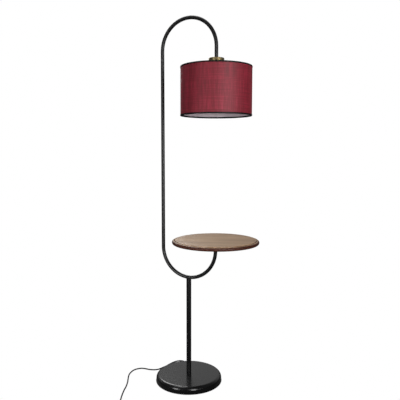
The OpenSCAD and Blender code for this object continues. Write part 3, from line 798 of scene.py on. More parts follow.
class Recipe:
    """A material under construction."""

    def __init__(self, name: str) -> None:
        """Starts with object coordinates and UVs."""
        self.material = bpy.data.materials.new(name)
        self.material.use_nodes = True
        self.tree = self.material.node_tree
        self.tree.nodes.clear()
        self.coords = add(self.tree, "ShaderNodeTexCoord").outputs

    def placed(self, **settings: Point) -> Socket:
        """Object coordinates with a Location, Rotation or Scale."""
        inputs = {"Vector": self.coords["Object"], **settings}
        return add(self.tree, "ShaderNodeMapping", inputs).outputs[0]

    def parts(self, place: Socket) -> Sequence[Socket]:
        """The X, Y and Z of coordinates."""
        return add(self.tree, "ShaderNodeSeparateXYZ", {0: place}).outputs

    def noise(self, scale: Point, detail: float, place: Socket | None = None, warp: float = 0) -> Socket:
        """Makes soft noise.

        Args:
            scale: Its waves per metre on each axis.
            detail: How many finer waves lie over it.
            place: Its coordinates, or None for the object's own.
            warp: How far it is distorted.

        Returns:
            Its value.
        """
        source = place or self.coords["Object"]
        scaled = add(self.tree, "ShaderNodeMapping", {"Vector": source, "Scale": scale}).outputs[0]
        inputs = {"Vector": scaled, "Scale": 1.0, "Detail": detail, "Distortion": warp}
        return add(self.tree, "ShaderNodeTexNoise", inputs).outputs["Fac"]

    def weave(self, across: float, along: float, detail: float, warp: float = 0) -> Socket:
        """Noise on the UVs, with its waves per metre in both directions."""
        return self.noise((across, along, 1), detail, self.coords["UV"], warp)

    def math(self, operation: str, *values: float | Socket) -> Socket:
        """A sum on numbers or sockets."""
        return add(self.tree, "ShaderNodeMath", dict(enumerate(values)), operation=operation).outputs[0]

    def total(self, *parts: tuple[Socket, float]) -> Socket:
        """The sum of values that are each given with a weight."""
        result: float | Socket = 0.0
        for value, weight in parts:
            result = self.math("MULTIPLY_ADD", value, weight, result)
        return result

    def spread(
        self, value: Socket, low: float, high: float, start: float = 0.3, end: float = 0.7
    ) -> Socket:
        """Carries a value from one range to another.

        Args:
            value: The value.
            low: The result at start.
            high: The result at end.
            start: Where the value's range begins.
            end: Where the value's range ends.

        Returns:
            The new value.
        """
        inputs = {"Value": value, "From Min": start, "From Max": end, "To Min": low, "To Max": high}
        return add(self.tree, "ShaderNodeMapRange", inputs).outputs[0]

    def ramp(self, value: Socket, *stops: tuple[float, str]) -> Socket:
        """Gives each value a colour.

        Args:
            value: The value.
            stops: Values with their sRGB hex codes.

        Returns:
            The colour.
        """
        node = add(self.tree, "ShaderNodeValToRGB", {"Fac": value})
        band = node.color_ramp
        while len(band.elements) < len(stops):
            band.elements.new(1.0)
        for element, (place, code) in zip(band.elements, stops):
            element.position = place
            element.color = linear(code)
        return node.outputs["Color"]

    def mix(self, share: float | Socket, first: Socket, second: object, blend: str = "MIX") -> Socket:
        """Mixes two colours.

        Args:
            share: How much of the second colour there is.
            first: The first colour.
            second: The second colour.
            blend: Blender's name for the way of mixing.

        Returns:
            The mixed colour.
        """
        inputs = {"Factor": share, 6: first, 7: second}
        return add(self.tree, "ShaderNodeMix", inputs, data_type="RGBA", blend_type=blend).outputs[2]

    def bump(self, height: Socket, depth: float) -> Socket:
        """A normal roughened by a height, with its depth in metres."""
        inputs = {"Height": height, "Distance": depth, "Strength": 1.0}
        return add(self.tree, "ShaderNodeBump", inputs).outputs[0]

    def surface(self, **inputs: object) -> Material:
        """Ends the material in one principled surface.

        Args:
            inputs: The surface's inputs, with _ for a space in a name.

        Returns:
            The material.
        """
        named = {name.replace("_", " "): value for name, value in inputs.items()}
        shader = add(self.tree, "ShaderNodeBsdfPrincipled", named)
        add(self.tree, "ShaderNodeOutputMaterial", {"Surface": shader.outputs[0]})
        return self.material


@dataclass(frozen=True)
class Finish:
    """A painted, moulded, cast or turned surface.

    Attributes:
        light: Colour of its lighter clouds.
        dark: Colour of its darker clouds.
        roughness: Lowest and highest roughness.
        metallic: 1 for bare metal.
        clouds: Clouds of colour and gloss per metre.
        grain: Grains of the surface per metre, level and upright.
        depth: Depth of the grain, in metres.
        coat: Weight of a clear coat.
        sheen: Weight of a soft sheen.
        specular: Strength of the mirror image.
    """

    light: str
    dark: str
    roughness: tuple[float, float]
    metallic: float = 0.0
    clouds: float = 25
    grain: tuple[float, float] = (1500, 1500)
    depth: float = 1e-5
    coat: float = 0.0
    sheen: float = 0.0
    specular: float = 0.5

    def build(self, name: str) -> Material:
        """Makes the material.

        Args:
            name: The material's name.

        Returns:
            The material.
        """
        recipe = Recipe(name)
        level, upright = self.grain
        clouds = recipe.noise((self.clouds, self.clouds, self.clouds), 5)
        grain = recipe.noise((level, level, upright), 3)
        blend = recipe.total((clouds, 0.7), (grain, 0.3))
        return recipe.surface(
            Base_Color=recipe.ramp(blend, (0.35, self.dark), (0.65, self.light)),
            Metallic=self.metallic,
            Roughness=recipe.spread(blend, *self.roughness, 0.35, 0.65),
            Normal=recipe.bump(grain, self.depth),
            Coat_Weight=self.coat,
            Coat_Roughness=0.15,
            Sheen_Weight=self.sheen,
            Specular_IOR_Level=self.specular,
        )


def walnut(name: str) -> Material:
    """Makes satin lacquered walnut, with its grain across the view and a darker edge: real stain with painted shade
    over the bead, and a painted shadow in the groove by the step.

    Args:
        name: The material's name.

    Returns:
        The material.
    """
    # Width of the outer ring where real stain and painted shade darken the edge.
    edge_r, stain_and_shade_width = Table.radius * MM, 0.014
    recipe = Recipe(name)
    turned = recipe.placed(Rotation=(0, 0, math.radians(-24)))
    bands = recipe.noise((1.6, 16, 16), 3, turned, 0.6)
    fibres = recipe.noise((12, 420, 420), 6, turned, 0.2)
    pores = recipe.spread(recipe.noise((60, 1600, 1600), 2, turned), 1, 0, 0.28, 0.36)
    blend = recipe.total((bands, 0.62), (fibres, 0.38))
    wood = recipe.ramp(blend, (0.34, "#7c5e44"), (0.48, "#9a7a58"), (0.6, "#aa8a67"), (0.7, "#b89a73"))
    grained = recipe.mix(recipe.math("MULTIPLY", pores, 0.5), wood, linear("#3a2214"))
    x, y, _ = recipe.parts(recipe.placed(Location=(-HOOP_R * MM, 0, 0)))
    reach = recipe.math("SQRT", recipe.math("MULTIPLY_ADD", x, x, recipe.math("MULTIPLY", y, y)))
    outward = recipe.spread(reach, 0.0, 1.0, edge_r - stain_and_shade_width, edge_r)
    # Across the edge: a dark ring in the groove by the step is painted shadow, the fillet beyond keeps the plain wood,
    # and the bead darkens outwards with real stain and painted shade.
    step = ((0.1, "#000000"), (0.16, "#d0d0d0"), (0.34, "#d0d0d0"), (0.4, "#202020"))
    edge = recipe.ramp(outward, *step, (0.55, "#303030"), (0.8, "#ffffff"))
    # The edge colour: a real walnut stain multiplied in, which also carries painted shade over the bead.
    stained_and_shaded = recipe.mix(1.0, grained, linear("#6a3a1c"), "MULTIPLY")
    satin = recipe.spread(fibres, 0.36, 0.44)
    return recipe.surface(
        Base_Color=recipe.mix(edge, grained, stained_and_shaded),
        Roughness=recipe.math("MULTIPLY_ADD", outward, 0.14, satin),
        Normal=recipe.bump(recipe.math("SUBTRACT", fibres, pores), 4e-6),
        Specular_IOR_Level=0.4,
    )


def fabric(name: str) -> Material:
    """Makes a burgundy slub weave: uneven upright threads crossed by fine level ones, with painted shade in the gaps
    between the threads.

    Args:
        name: The material's name.

    Returns:
        The material.
    """
    recipe = Recipe(name)
    slub = recipe.weave(380, 14, 4, 0.1)
    streak = recipe.weave(95, 3.5, 3)
    level = recipe.weave(7, 290, 3)
    crossed = recipe.total((recipe.weave(1500, 60, 2), 0.5), (recipe.weave(70, 1700, 2), 0.5))
    cloth = recipe.total((slub, 0.4), (streak, 0.25), (level, 0.35))
    base = recipe.ramp(cloth, (0.38, "#5f0a18"), (0.5, "#7e1527"), (0.62, "#9c263b"))
    # Painted shade: a darker red where the crossed threads leave gaps.
    thread_gap_shade = recipe.spread(crossed, 0.35, 0.0, 0.35, 0.6)
    return recipe.surface(
        Base_Color=recipe.mix(thread_gap_shade, base, linear("#420810")),
        Roughness=recipe.spread(cloth, 0.54, 0.66),
        Normal=recipe.bump(recipe.total((slub, 1.0), (level, 0.7), (crossed, 1.0)), 4e-5),
        Specular_IOR_Level=0.42,
    )


def paint(name: str) -> Material:
    """Makes black paint: satin on the tubes, and glossier towards the base.

    Args:
        name: The material's name.

    Returns:
        The material.
    """
    recipe = Recipe(name)
    clouds = recipe.noise((25, 25, 25), 4)
    height = recipe.parts(recipe.coords["Object"])["Z"]
    satin = recipe.spread(height, 0.18, 0.42, 0.04, 1.0)
    return recipe.surface(
        Base_Color=recipe.ramp(clouds, (0.35, "#080809"), (0.65, "#0c0c0d")),
        Roughness=recipe.math("MULTIPLY_ADD", clouds, 0.04, satin),
        Normal=recipe.bump(recipe.noise((180, 180, 180), 2), 2e-6),
        Specular_IOR_Level=0.36,
    )


def ribbon(name: str) -> Material:
    """Makes black grosgrain ribbon with fine ribs across its width.

    Args:
        name: The material's name.

    Returns:
        The material.
    """
    recipe = Recipe(name)
    inputs = {"Vector": recipe.coords["UV"], "Scale": 190.0, "Distortion": 0.4, "Detail": 1.0}
    ribs = add(recipe.tree, "ShaderNodeTexWave", inputs, bands_direction="X").outputs["Fac"]
    fray = recipe.weave(900, 900, 3)
    return recipe.surface(
        Base_Color=recipe.ramp(fray, (0.35, "#060607"), (0.65, "#121112")),
        Roughness=recipe.spread(ribs, 0.5, 0.7, 0, 1),
        Normal=recipe.bump(recipe.total((ribs, 1.0), (fray, 0.3)), 4e-5),
        Specular_IOR_Level=0.15,
    )


def brass(name: str) -> Material:
    """Makes aged brass, turned in fine rings, with darker patina in soft patches.

    Args:
        name: The material's name.

    Returns:
        The material.
    """
    recipe = Recipe(name)
    patina = recipe.noise((55, 55, 40), 6)
    rings = recipe.noise((40, 40, 2600), 3)
    worn = recipe.total((patina, 0.75), (recipe.noise((600, 600, 600), 3), 0.25))
    return recipe.surface(
        Base_Color=recipe.ramp(worn, (0.36, "#57492f"), (0.5, "#7f7150"), (0.66, "#a0956f")),
        Metallic=1.0,
        Roughness=recipe.spread(worn, 0.42, 0.28, 0.36, 0.66),
        Normal=recipe.bump(rings, 1.5e-5),
    )


def opal(name: str) -> Material:
    """Makes the opal glass of an unlit bulb: milky, smooth and a little uneven.

    Args:
        name: The material's name.

    Returns:
        The material.
    """
    recipe = Recipe(name)
    haze = recipe.noise((60, 60, 60), 4)
    return recipe.surface(
        Base_Color=recipe.ramp(haze, (0.35, "#ece9e0"), (0.65, "#f8f6ef")),
        Roughness=recipe.spread(haze, 0.16, 0.24),
        Subsurface_Weight=0.3,
        Subsurface_Radius=(0.004, 0.004, 0.004),
        Normal=recipe.bump(haze, 3e-5),
        Coat_Weight=0.3,
    )


FINISHES: dict[Slot, Finish] = {
    Slot.YELLOW_BRASS: Finish("#c9a962", "#a88742", (0.2, 0.34), 1.0, 60, (90, 2200), 6e-6),
    Slot.LINER: Finish("#e6dade", "#dacdd3", (0.5, 0.62), 0.0, 12, (500, 90), 2e-5),
    Slot.WHITE_PAINT: Finish("#dddad3", "#cfccc4", (0.3, 0.42), grain=(900, 900), coat=0.2),
    Slot.WHITE_PLASTIC: Finish("#efefeb", "#e6e5df", (0.32, 0.42), depth=8e-6),
    Slot.NICKEL: Finish("#bfc1c3", "#9fa1a3", (0.22, 0.36), 1.0, 80, (60, 2500), 5e-6),
    Slot.CERAMIC: Finish("#ece8dd", "#ddd8ca", (0.35, 0.5), clouds=90, depth=1.5e-5),
    Slot.HOLDER_PLASTIC: Finish("#1d1d1f", "#151516", (0.3, 0.42), depth=1.2e-5),
    Slot.CAST_IRON: Finish("#4a4c4f", "#2f3133", (0.6, 0.8), 0.6, 40, (420, 420), 2e-4),
    Slot.ZINC: Finish("#a8aaad", "#8c8f93", (0.34, 0.5), 1.0, 35, (300, 300), 1.2e-5),
    Slot.SCREW_STEEL: Finish("#b9bbbd", "#97999c", (0.25, 0.4), 1.0, 120, (900, 900), 8e-6),
    Slot.FELT: Finish("#2e2e2f", "#1c1c1d", (0.9, 1.0), 0.0, 60, (1300, 1300), 3e-4, sheen=0.4),
    Slot.BLACK_PLASTIC: Finish("#1b1b1c", "#131314", (0.38, 0.5), grain=(2200, 2200), depth=2.5e-5),
    Slot.BUTTON_PLASTIC: Finish("#2b2b2d", "#202022", (0.3, 0.42), grain=(1200, 1200), depth=1.5e-5),
    Slot.RUBBER: Finish("#101011", "#0a0a0b", (0.5, 0.62), clouds=45, depth=3e-6, specular=0.25),
    Slot.STRAP: Finish("#3c3c3e", "#262628", (0.7, 0.85), 0.0, 200, (1600, 700), 2e-4, sheen=0.3),
    Slot.PINS: Finish("#cfd0d1", "#b3b5b7", (0.16, 0.28), 1.0, 150, (300, 300), 4e-6),
}
SPECIAL: dict[Slot, Callable[[str], Material]] = {
    Slot.BLACK_PAINT: paint,
    Slot.WALNUT: walnut,
    Slot.FABRIC: fabric,
    Slot.RIBBON: ribbon,
    Slot.ANTIQUE_BRASS: brass,
    Slot.OPAL_GLASS: opal,
}


class Workshop:
    """Makes the pieces, and gives each its finish, its body and the nodes that it stands for."""

    def __init__(self, nodes: dict[str, Piece]) -> None:
        """Starts with the frame's nodes and no pieces."""
        self.nodes = nodes
        self.materials: dict[Slot, Material] = {}
        self.radial = RadialArray()
        self.made: list[Piece] = []

    def material(self, slot: Slot) -> Material:
        """The slot's material, made once."""
        if slot not in self.materials:
            build = SPECIAL.get(slot) or FINISHES[slot].build
            self.materials[slot] = build(slot.value)
        return self.materials[slot]

    def piece(
        self,
        name: str,
        shape: Shape,
        slot: Slot,
        stands_for: Iterable[str] = (),
        body: Body = Body.LAMP,
        crease: float = 35,
        count: int = 1,
        place: Matrix = UNMOVED,
    ) -> Piece:
        """Makes a piece.

        Args:
            name: The piece's name.
            shape: Its shape, or one of its parts where it repeats.
            slot: Its finish.
            stands_for: CAD nodes that it replaces.
            body: The body that it moves with.
            crease: Angle in degrees above which an edge stays sharp.
            count: How often the shape repeats round the Z axis.
            place: Moves the finished shape, in millimetres.

        Returns:
            The piece.
        """
        obj = show(name, shape.mesh(name))
        if count > 1:
            obj.data = self.radial.mesh(obj, count, self.material(slot))
        obj.data.materials.clear()
        obj.data.materials.append(self.material(slot))
        obj.data.transform(Matrix.Scale(MM, 4) @ place)
        obj.data.shade_smooth()
        obj.data.set_sharp_from_angle(angle=math.radians(crease))
        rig.ride(obj, body.value)
        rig.replaces(obj, *stands_for)
        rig.slot(obj, slot.value)
        self.made.append(obj)
        return obj

    def dress(self, slot: Slot, *names: str) -> None:
        """Gives CAD nodes that stay as they are the slot's material."""
        for name in names:
            materials = self.nodes[name].data.materials
            materials.clear()
            materials.append(self.material(slot))


@dataclass(frozen=True)
class Part:
    """A sub-assembly of the lamp.

    Attributes:
        shop: Where its pieces are made.
    """

    shop: Workshop

    def home(self) -> Matrix:
        """Where the part's own origin is."""
        return UNMOVED

    def piece(self, *what: object, place: Matrix = UNMOVED, **more: object) -> Piece:
        """Makes a piece as Workshop.piece does, placed from the part's own origin."""
        return self.shop.piece(*what, place=self.home() @ place, **more)


@dataclass(frozen=True)
class ShadeSide(Part):
    """A sub-assembly on the axis of the shade."""

    def home(self) -> Matrix:
        """The foot of the axis."""
        return at((HOOP_R, 0, 0))


# ---------- flex ----------


def line_place(along: float) -> Matrix:
    """The place at a distance on the line past the lead's end, on the floor."""
    return at((LEAD_END.x, LEAD_END.y, 0)) @ Matrix.Rotation(SPARE_TURN, 4, "Z") @ at((along, 0, 0))


@dataclass(frozen=True)
class Flex(Part):
    """The mains flex: its lead, the foot switch in it, the wound spare length and the plug.

    Attributes:
        diameter: The flex's diameter.
        length: Its real length in metres, from the base to the plug.
        straight: Length of the straight ends of a run.
        switch_from: Where it leaves the switch, on the line past the lead's end.
        coil_from: Where the coil begins on that line.
        tail_from: Where the tail begins.
        plug_at: Where it enters the plug.
        plug_z: Height of its middle in the plug.
        coil_r: Radius of the coil's outer turn.
        layer: Distance between the coil's turns and between its layers.
        low: Height of the coil's lower layer.
        turns: The coil's turns.
        tie_at: Where the strap ties the coil, on the line.
    """

    diameter: float = 6
    length: float = 2.044
    straight: float = 9
    switch_from: float = 124
    coil_from: float = 194
    tail_from: float = 212
    plug_at: float = 302
    plug_z: float = 7
    coil_r: float = 41
    layer: float = 6.7
    low: float = 3.8
    turns: int = 5
    tie_at: float = 203

    def lead_route(self) -> list[Vector]:
        """Round the back of the base, out to the left and forward to the switch."""
        outlet_z = 9.7
        sinking = [(-108.4, 150.2, 8.9), (-121.2, 154.4, 7.4), (-134.6, 152.5, 5.8), (-145.7, 145, 4.5)]
        sinking += [(-154.9, 128.9, 3.5)]
        lying = [
            (-159.5, 110.6), (-162.8, 91), (-164.4, 71.6), (-170, 56.2), (-173, 43.5), (-178, 29),
            (-188, 16), (-203, 8), (-220, 4), (-238, 3), (-256, -1), (-268, -11), (-277, -26),
            (-280, -44), (-278, -62), (-274, -79), (-267, -95), (-259, -110), (-250, -125),
            (-241, -140), (-232, -155), (-224, -171), (-216, -188), (-209, -205), (-203, -222),
            (-195, -240), (-187, -258), (-179, -275), (-170, -292), (-161, -309),
        ]
        rising = [(-151, -325, 3.6), (-137, -339, 4.6), (-119, -347, 5.6), (-101, -348, LEAD_END.z)]
        return [
            polar(164, EXIT_TURN, outlet_z),
            polar(173, EXIT_TURN, outlet_z),
            *vectors(*sinking, *((x, y, FLOOR_LIE) for x, y in lying), *rising),
            LEAD_END - polar(self.straight, SPARE_TURN, 0),
            LEAD_END,
        ]

    def stepped(self, length: float, heights: Sequence[float]) -> list[Vector]:
        """Draws a run that passes from height to height between two straight ends.

        Args:
            length: The run's length.
            heights: Its heights at even steps.

        Returns:
            The run's points, along X.
        """
        last = len(heights) - 1
        step = (length - 2 * self.straight) / last
        points = vectors((0, 0, heights[0]))
        for i, (here, there) in enumerate(zip(heights, heights[1:])):
            for k in range(3):
                rise = (there - here) * (1 - math.cos(math.pi * k / 3)) / 2
                points.append(Vector((self.straight + (i + k / 3) * step, 0, here + rise)))
        return points + vectors((length - self.straight, 0, heights[last]), (length, 0, heights[last]))

    def coil(self) -> list[Vector]:
        """A flat coil of two layers, wound inwards and out again on top."""
        per_turn, half = 24, self.turns / 2
        points = []
        for k in range(per_turn * self.turns + 1):
            t = k / per_turn
            radius = self.coil_r - self.layer * (half - abs(t - half))
            share = min(max((t - half) * 2 + 0.5, 0), 1)
            climb = self.layer * (1 - math.cos(math.pi * share)) / 2
            turn = 2 * math.pi * t
            x, y = radius * math.sin(turn), radius * math.cos(turn) - self.coil_r
            points.append(Vector((self.straight + x, y, self.low + climb)))
        return points

    def spare_route(self) -> list[Vector]:
        """Through the switch and the coil to the plug."""
        inside = [Vector((k * self.switch_from / 10, 0, LEAD_END.z)) for k in range(1, 10)]
        link = self.stepped(self.coil_from - self.switch_from, [LEAD_END.z, self.low])
        top = self.low + self.layer
        tail = self.stepped(self.plug_at - self.tail_from, [top, FLOOR_LIE, self.plug_z])
        parts = (
            (0.0, inside),
            (self.switch_from, link),
            (self.coil_from, self.coil()),
            (self.tail_from, tail),
        )
        return [line_place(along) @ point for along, points in parts for point in points]

    def build(self) -> None:
        """Makes the flex with everything on it."""
        on_it = [*FootSwitch(self.shop).build(), self.strap(), *Plug(self.shop).build()]
        route = smooth([*self.lead_route(), *self.spare_route()], 4)
        flex = self.piece(
            "mains_flex",
            sweep(route, disc(self.diameter / 2, 14)),
            Slot.RUBBER,
            ["flex_lead", "flex_link", "flex_coil", "flex_tail"],
        )
        path = [point * MM for point in route]
        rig.cord(
            flex,
            exit=path[0],
            length=self.length,
            diameter=self.diameter * MM,
            far_end="plug",
            lay="coiled",
            path=path,
            with_pieces=on_it,
        )

    def strap(self) -> Piece:
        """The strap round the coil's turns, with its free end laid on top."""
        thick, wide, bend = 0.6, 10, 4
        width, height = 2 * self.layer + self.diameter + 2, self.layer + self.diameter + 0.4
        loop = rounded(rectangle(width + thick, height + thick, bend), 6)
        middle = (height + 2 * thick) / 2
        path = [Vector((0, p.x, p.y + middle)) for p in loop]
        band = rounded(rectangle(thick, wide, 0.2), 2)
        shape = sweep(path, band, side=(0, -1, -1), closed=True)
        end_z = height + thick * 2.5
        end = vectors(*((0, y, end_z) for y in (-6, -3, 0, 3, 6)))
        shape.joined(sweep(end, band))
        place = line_place(self.tie_at) @ at((0, 1.5 * self.layer - 2 * self.coil_r, 0))
        return self.piece("coil_strap", shape.moved(place), Slot.STRAP, ["coil_tie"], crease=50)


def rectangle(width: float, height: float, radius: float) -> list[Corner]:
    """The corners of a rectangle round the origin, each with its radius."""
    x, y = width / 2, height / 2
    return [(-x, -y, radius), (x, -y, radius), (x, y, radius), (-x, y, radius)]


@dataclass(frozen=True)
class FootSwitch(Part):
    """The foot switch: two moulded halves, a round button and a sleeve at each end.

    Attributes:
        at: Where its middle is on the line past the lead's end.
        length: From end to end.
        width: Across it.
        split: Height at which the halves meet.
        height: Height of its flat top.
        wall: Thickness of its shell.
        groove: How far the line between the halves is drawn in.
        shoulder: Radius of its upper edge.
        button_r: Radius of the button.
        button_z: Height of the button's top.
        flange_r: Radius of the button's flange inside the cover.
        screw_x: How far from the middle the case's screws are.
    """

    at: float = 62
    length: float = 84
    width: float = 38
    split: float = 9
    height: float = 22
    wall: float = 2.5
    groove: float = 0.35
    shoulder: float = 5
    button_r: float = 13
    button_z: float = 27
    flange_r: float = 15
    screw_x: float = 29.33

    def home(self) -> Matrix:
        """The floor under the switch's middle."""
        return line_place(self.at)

    def rings(self, *places: Point) -> Rows:
        """Level rings, each given by how far it is drawn in and its height."""
        return [stadium(self.length, self.width, inset, z) for inset, z in places]

    def build(self) -> list[Piece]:
        """Makes the switch.

        Returns:
            The pieces that lie still on the flex.
        """
        lower = self.piece("switch_lower_half", self.lower_half(), Slot.BLACK_PLASTIC, ["switch_base"])
        upper = self.piece("switch_upper_half", self.upper_half(), Slot.BLACK_PLASTIC, ["switch_cover"])
        self.button()
        sleeves = Shape()
        for turn in (0, 180):
            root = spun(turn) @ at((-self.length / 2, 0, LEAD_END.z))
            sleeves.joined(sleeve(length=20, root=10, tip=7.6, ribs=4).moved(root))
        reliefs = self.piece("switch_reliefs", sleeves, Slot.RUBBER, ["switch_sleeves"])
        head = screw_head(radius=3, height=1.5).moved(at((self.screw_x, 0, 1.7)))
        screws = self.piece("switch_case_screws", head, Slot.SCREW_STEEL, ["switch_screws"], count=2)
        self.shop.dress(Slot.CERAMIC, "switch_module")
        return [lower, upper, reliefs, screws]

    def lower_half(self) -> Shape:
        """The lower half, from its eased foot up to the parting line and down inside."""
        foot, edge, split = 0.4, 0.8, self.split
        rows = self.rings((edge + 2.5, foot), (edge, foot), (0.2, edge + 0.3), (0, 2))
        rows += self.rings((0, split - self.groove), (self.groove, split), (self.wall, split))
        return Shape().skin([*rows, *self.rings((self.wall, self.wall))])

    def upper_half(self) -> Shape:
        """The upper half, from the parting line to the raised rim round the button."""
        hole = self.button_r + 0.3
        lip, bulge, well = 3.4, 0.5, 2.5
        rows = self.rings((self.wall, self.split), (self.groove, self.split), (0, self.split + self.groove))
        soft = self.shoulder
        rows += self.rings(*arc(soft, self.height - soft, soft, 180, 90, 8))
        # Nearly a circle, with as many points as a ring of the stadium.
        turns = [math.atan2(p.y, p.x) for p in stadium(self.width * 1.0001, self.width, 0, 0)]
        for more, rise in ((lip, 0), (2.2, bulge), (0.8, bulge), (0, 0), (0, -well)):
            rows.append([polar(hole + more, turn, self.height + rise) for turn in turns])
        return Shape().skin(rows, ends=False)

    def button(self) -> None:
        """The button: a shallow dish with grip rings and a flange inside the cover."""
        top, edge, ease = self.button_z, 1.5, 0.2
        low, high = 17.4, 19.4
        profile = vectors((0, low), (self.flange_r - ease, low), (self.flange_r, low + 0.3))
        profile += vectors((self.flange_r, high - 0.3), (self.flange_r - ease, high), (self.button_r, high))
        profile += arc(self.button_r - edge, top - edge, edge, 0, 90, 6)
        for radius in (9.5, 7.5, 5.5):
            for offset, sunk in ((0.7, 0.6), (0.4, 0.2), (-0.1, 0.2), (-0.4, 0.6)):
                profile.append(Vector((radius + offset, top - sunk)))
        profile.append(Vector((0, top - 0.7)))
        shape = revolve(profile, 64, False)
        self.piece("switch_press_button", shape, Slot.BUTTON_PLASTIC, ["switch_button"], Body.BUTTON)


@dataclass(frozen=True)
class Plug(Part):
    """The flat moulded plug with two round pins.

    Attributes:
        at: Where its sleeve's tip is on the line past the lead's end.
        height: Thickness of its body.
        sleeve: Length of its sleeve.
        neck: Half the body's width at the sleeve.
        shoulder: Half the body's width at the pins.
        pin_gap: Half the distance between the pins.
        pin_r: Radius of a pin.
    """

    at: float = 302
    height: float = 14
    sleeve: float = 24
    neck: float = 7.5
    shoulder: float = 17.5
    pin_gap: float = 9.5
    pin_r: float = 2

    def home(self) -> Matrix:
        """The floor under the sleeve's tip."""
        return line_place(self.at)

    def half_width(self, x: float) -> float:
        """Half the body's width at a distance from the sleeve's tip."""
        rounding, flare = 4, 14
        if x < self.sleeve:
            rise = math.sqrt(max(rounding**2 - (self.sleeve - x) ** 2, 0))
            return self.neck - rounding + rise
        share = min((x - self.sleeve) / flare, 1)
        return self.neck + (self.shoulder - self.neck) * (3 * share**2 - 2 * share**3) ** 0.9

    def section(self, x: float, half: float, cut: float, soft: float) -> list[Vector]:
        """A rounded rectangle across the plug, cut down above and below."""
        outline = rounded(rectangle(2 * half, self.height - 2 * cut, soft), 5)
        return [Vector((x, p.x, p.y + self.height / 2)) for p in outline]

    def body(self) -> Shape:
        """The body with its grip lines, and its ribbed sleeve."""
        grips, grip, last = (41, 45, 49), 0.55, 54
        rows = [self.section(20, 5.0, 2.0, 2.5), self.section(20.4, 6.0, 1.0, 2.6)]
        for x in (21, 22, 23.5, *range(25, 52, 2), 52.5, last):
            half = self.half_width(x) - (grip if x in grips else 0) - (0.4 if x == last else 0)
            rows.append(self.section(x, half, 0, 3.4))
        rows += [self.section(55.2, 16.4, 0.5, 3.2), self.section(56, 15.2, 1.6, 2.6)]
        root = at((self.sleeve, 0, self.height / 2))
        return Shape().skin(rows).joined(sleeve(self.sleeve, root=12, tip=7.6, ribs=5).moved(root))

    def build(self) -> list[Piece]:
        """Makes the plug.

        Returns:
            The body, the pins and their sleeves.
        """
        radius, tip_r, pin_end = self.pin_r, 1, 27
        cuff_low, cuff_high, cuff_r = 7, 18, radius + 0.06
        pins, cuffs = Shape(), Shape()
        for side in (-1, 1):
            seat = at((48, side * self.pin_gap, self.height / 2)) @ spun(90, "Y")
            pin = vectors((0, 0), (radius, 0), (radius, pin_end - tip_r - 0.6))
            pin += [*arc(tip_r, pin_end - tip_r, tip_r, 0, 90, 5), Vector((0, pin_end))]
            pins.joined(revolve(pin, 32, False).moved(seat))
            cuff = [(1.9, cuff_low, 0), (cuff_r, cuff_low, 0), (cuff_r, cuff_high, 0.03), (1.9, cuff_high, 0)]
            cuffs.joined(revolve(rounded(cuff, 2), 32).moved(seat))
        return [
            self.piece("plug_moulding", self.body(), Slot.BLACK_PLASTIC, ["plug_body"], crease=40),
            self.piece("plug_round_pins", pins, Slot.PINS, ["plug_pins"]),
            self.piece("plug_pin_cuffs", cuffs, Slot.BLACK_PLASTIC),
        ]


# ---------- base and pole ----------


@dataclass(frozen=True)
class Base(Part):
    """The round base: a spun cover over a weight, closed below by a plate and a pad.

    Attributes:
        side_r: Radius of its upright side.
        shoulder_r: Radius of its rounded shoulder.
        height: Height of its flat top.
        wall: Thickness of the cover.
        rim_r: Radius of the rolled rim's section.
        rim_z: Height of the rim's middle.
        screw_r: How far from the middle the plate's screws are.
    """

    side_r: float = 148.5
    shoulder_r: float = 16
    height: float = 32
    wall: float = 1.5
    rim_r: float = 1.5
    rim_z: float = 2.5
    screw_r: float = 100

    def build(self) -> None:
        """Makes the cover and its cord outlet, and dresses what lies inside."""
        flat_r = self.side_r - self.shoulder_r
        centre_z = self.height - self.shoulder_r
        cover = [Vector((r, self.height)) for r in (BORE_R, 11, 40, 80, 115, 128)]
        cover += arc(flat_r, centre_z, self.shoulder_r, 90, 0, 28)
        cover += vectors((self.side_r, self.rim_z + self.rim_r + 0.2))
        cover += arc(self.side_r, self.rim_z, self.rim_r, 60, -180, 16)
        cover += vectors((self.side_r - self.wall, centre_z))
        cover += arc(flat_r, centre_z, self.shoulder_r - self.wall, 10, 90, 10)
        cover += vectors((BORE_R, self.height - self.wall))
        self.piece("base_shell", revolve(cover, 192), Slot.BLACK_PAINT, ["base_cover"])
        self.outlet()
        head = screw_head(radius=4.5, height=1.2).moved(at((self.screw_r, 0, 2)))
        turned = Matrix.Rotation(EXIT_TURN + math.pi / 3, 4, "Z")
        self.piece("base_plate_screws", head, Slot.SCREW_STEEL, ["base_screws"], count=3, place=turned)
        self.shop.dress(Slot.FELT, "base_pad")
        self.shop.dress(Slot.ZINC, "base_plate", "pole_washer", "pole_nut", "pole_bush")
        self.shop.dress(Slot.CAST_IRON, "base_weight")
        self.shop.dress(Slot.SCREW_STEEL, "clamp_screws")
        self.shop.dress(Slot.CERAMIC, "cord_clamp")
        self.shop.dress(Slot.YELLOW_BRASS, "pole_nipple")

    def outlet(self) -> None:
        """The ribbed rubber outlet at the back."""
        bore, root, end, rib, groove = 2.1, 4.5, 23.5, 2.6, 0.55
        profile = rounded([(bore, 0, 0), (root, 0, 0.4), (root, 11.2, 0.3)], 3, False)
        for k in range(4):
            for along, cut in ((0.2, 0), (0.7, groove), (1.5, groove), (2.0, 0)):
                out = 12 + rib * k + along
                profile.append(Vector((root - 0.7 * (out - 11) / 12.5 - cut, out)))
        profile += vectors((3.8, end - 0.3), (3.5, end), (bore, end))
        place = Matrix.Rotation(EXIT_TURN, 4, "Z") @ at((140.5, 0, 9.7)) @ spun(90, "Y")
        self.piece("cord_outlet", revolve(profile, 40), Slot.RUBBER, ["cord_gland"], place=place)


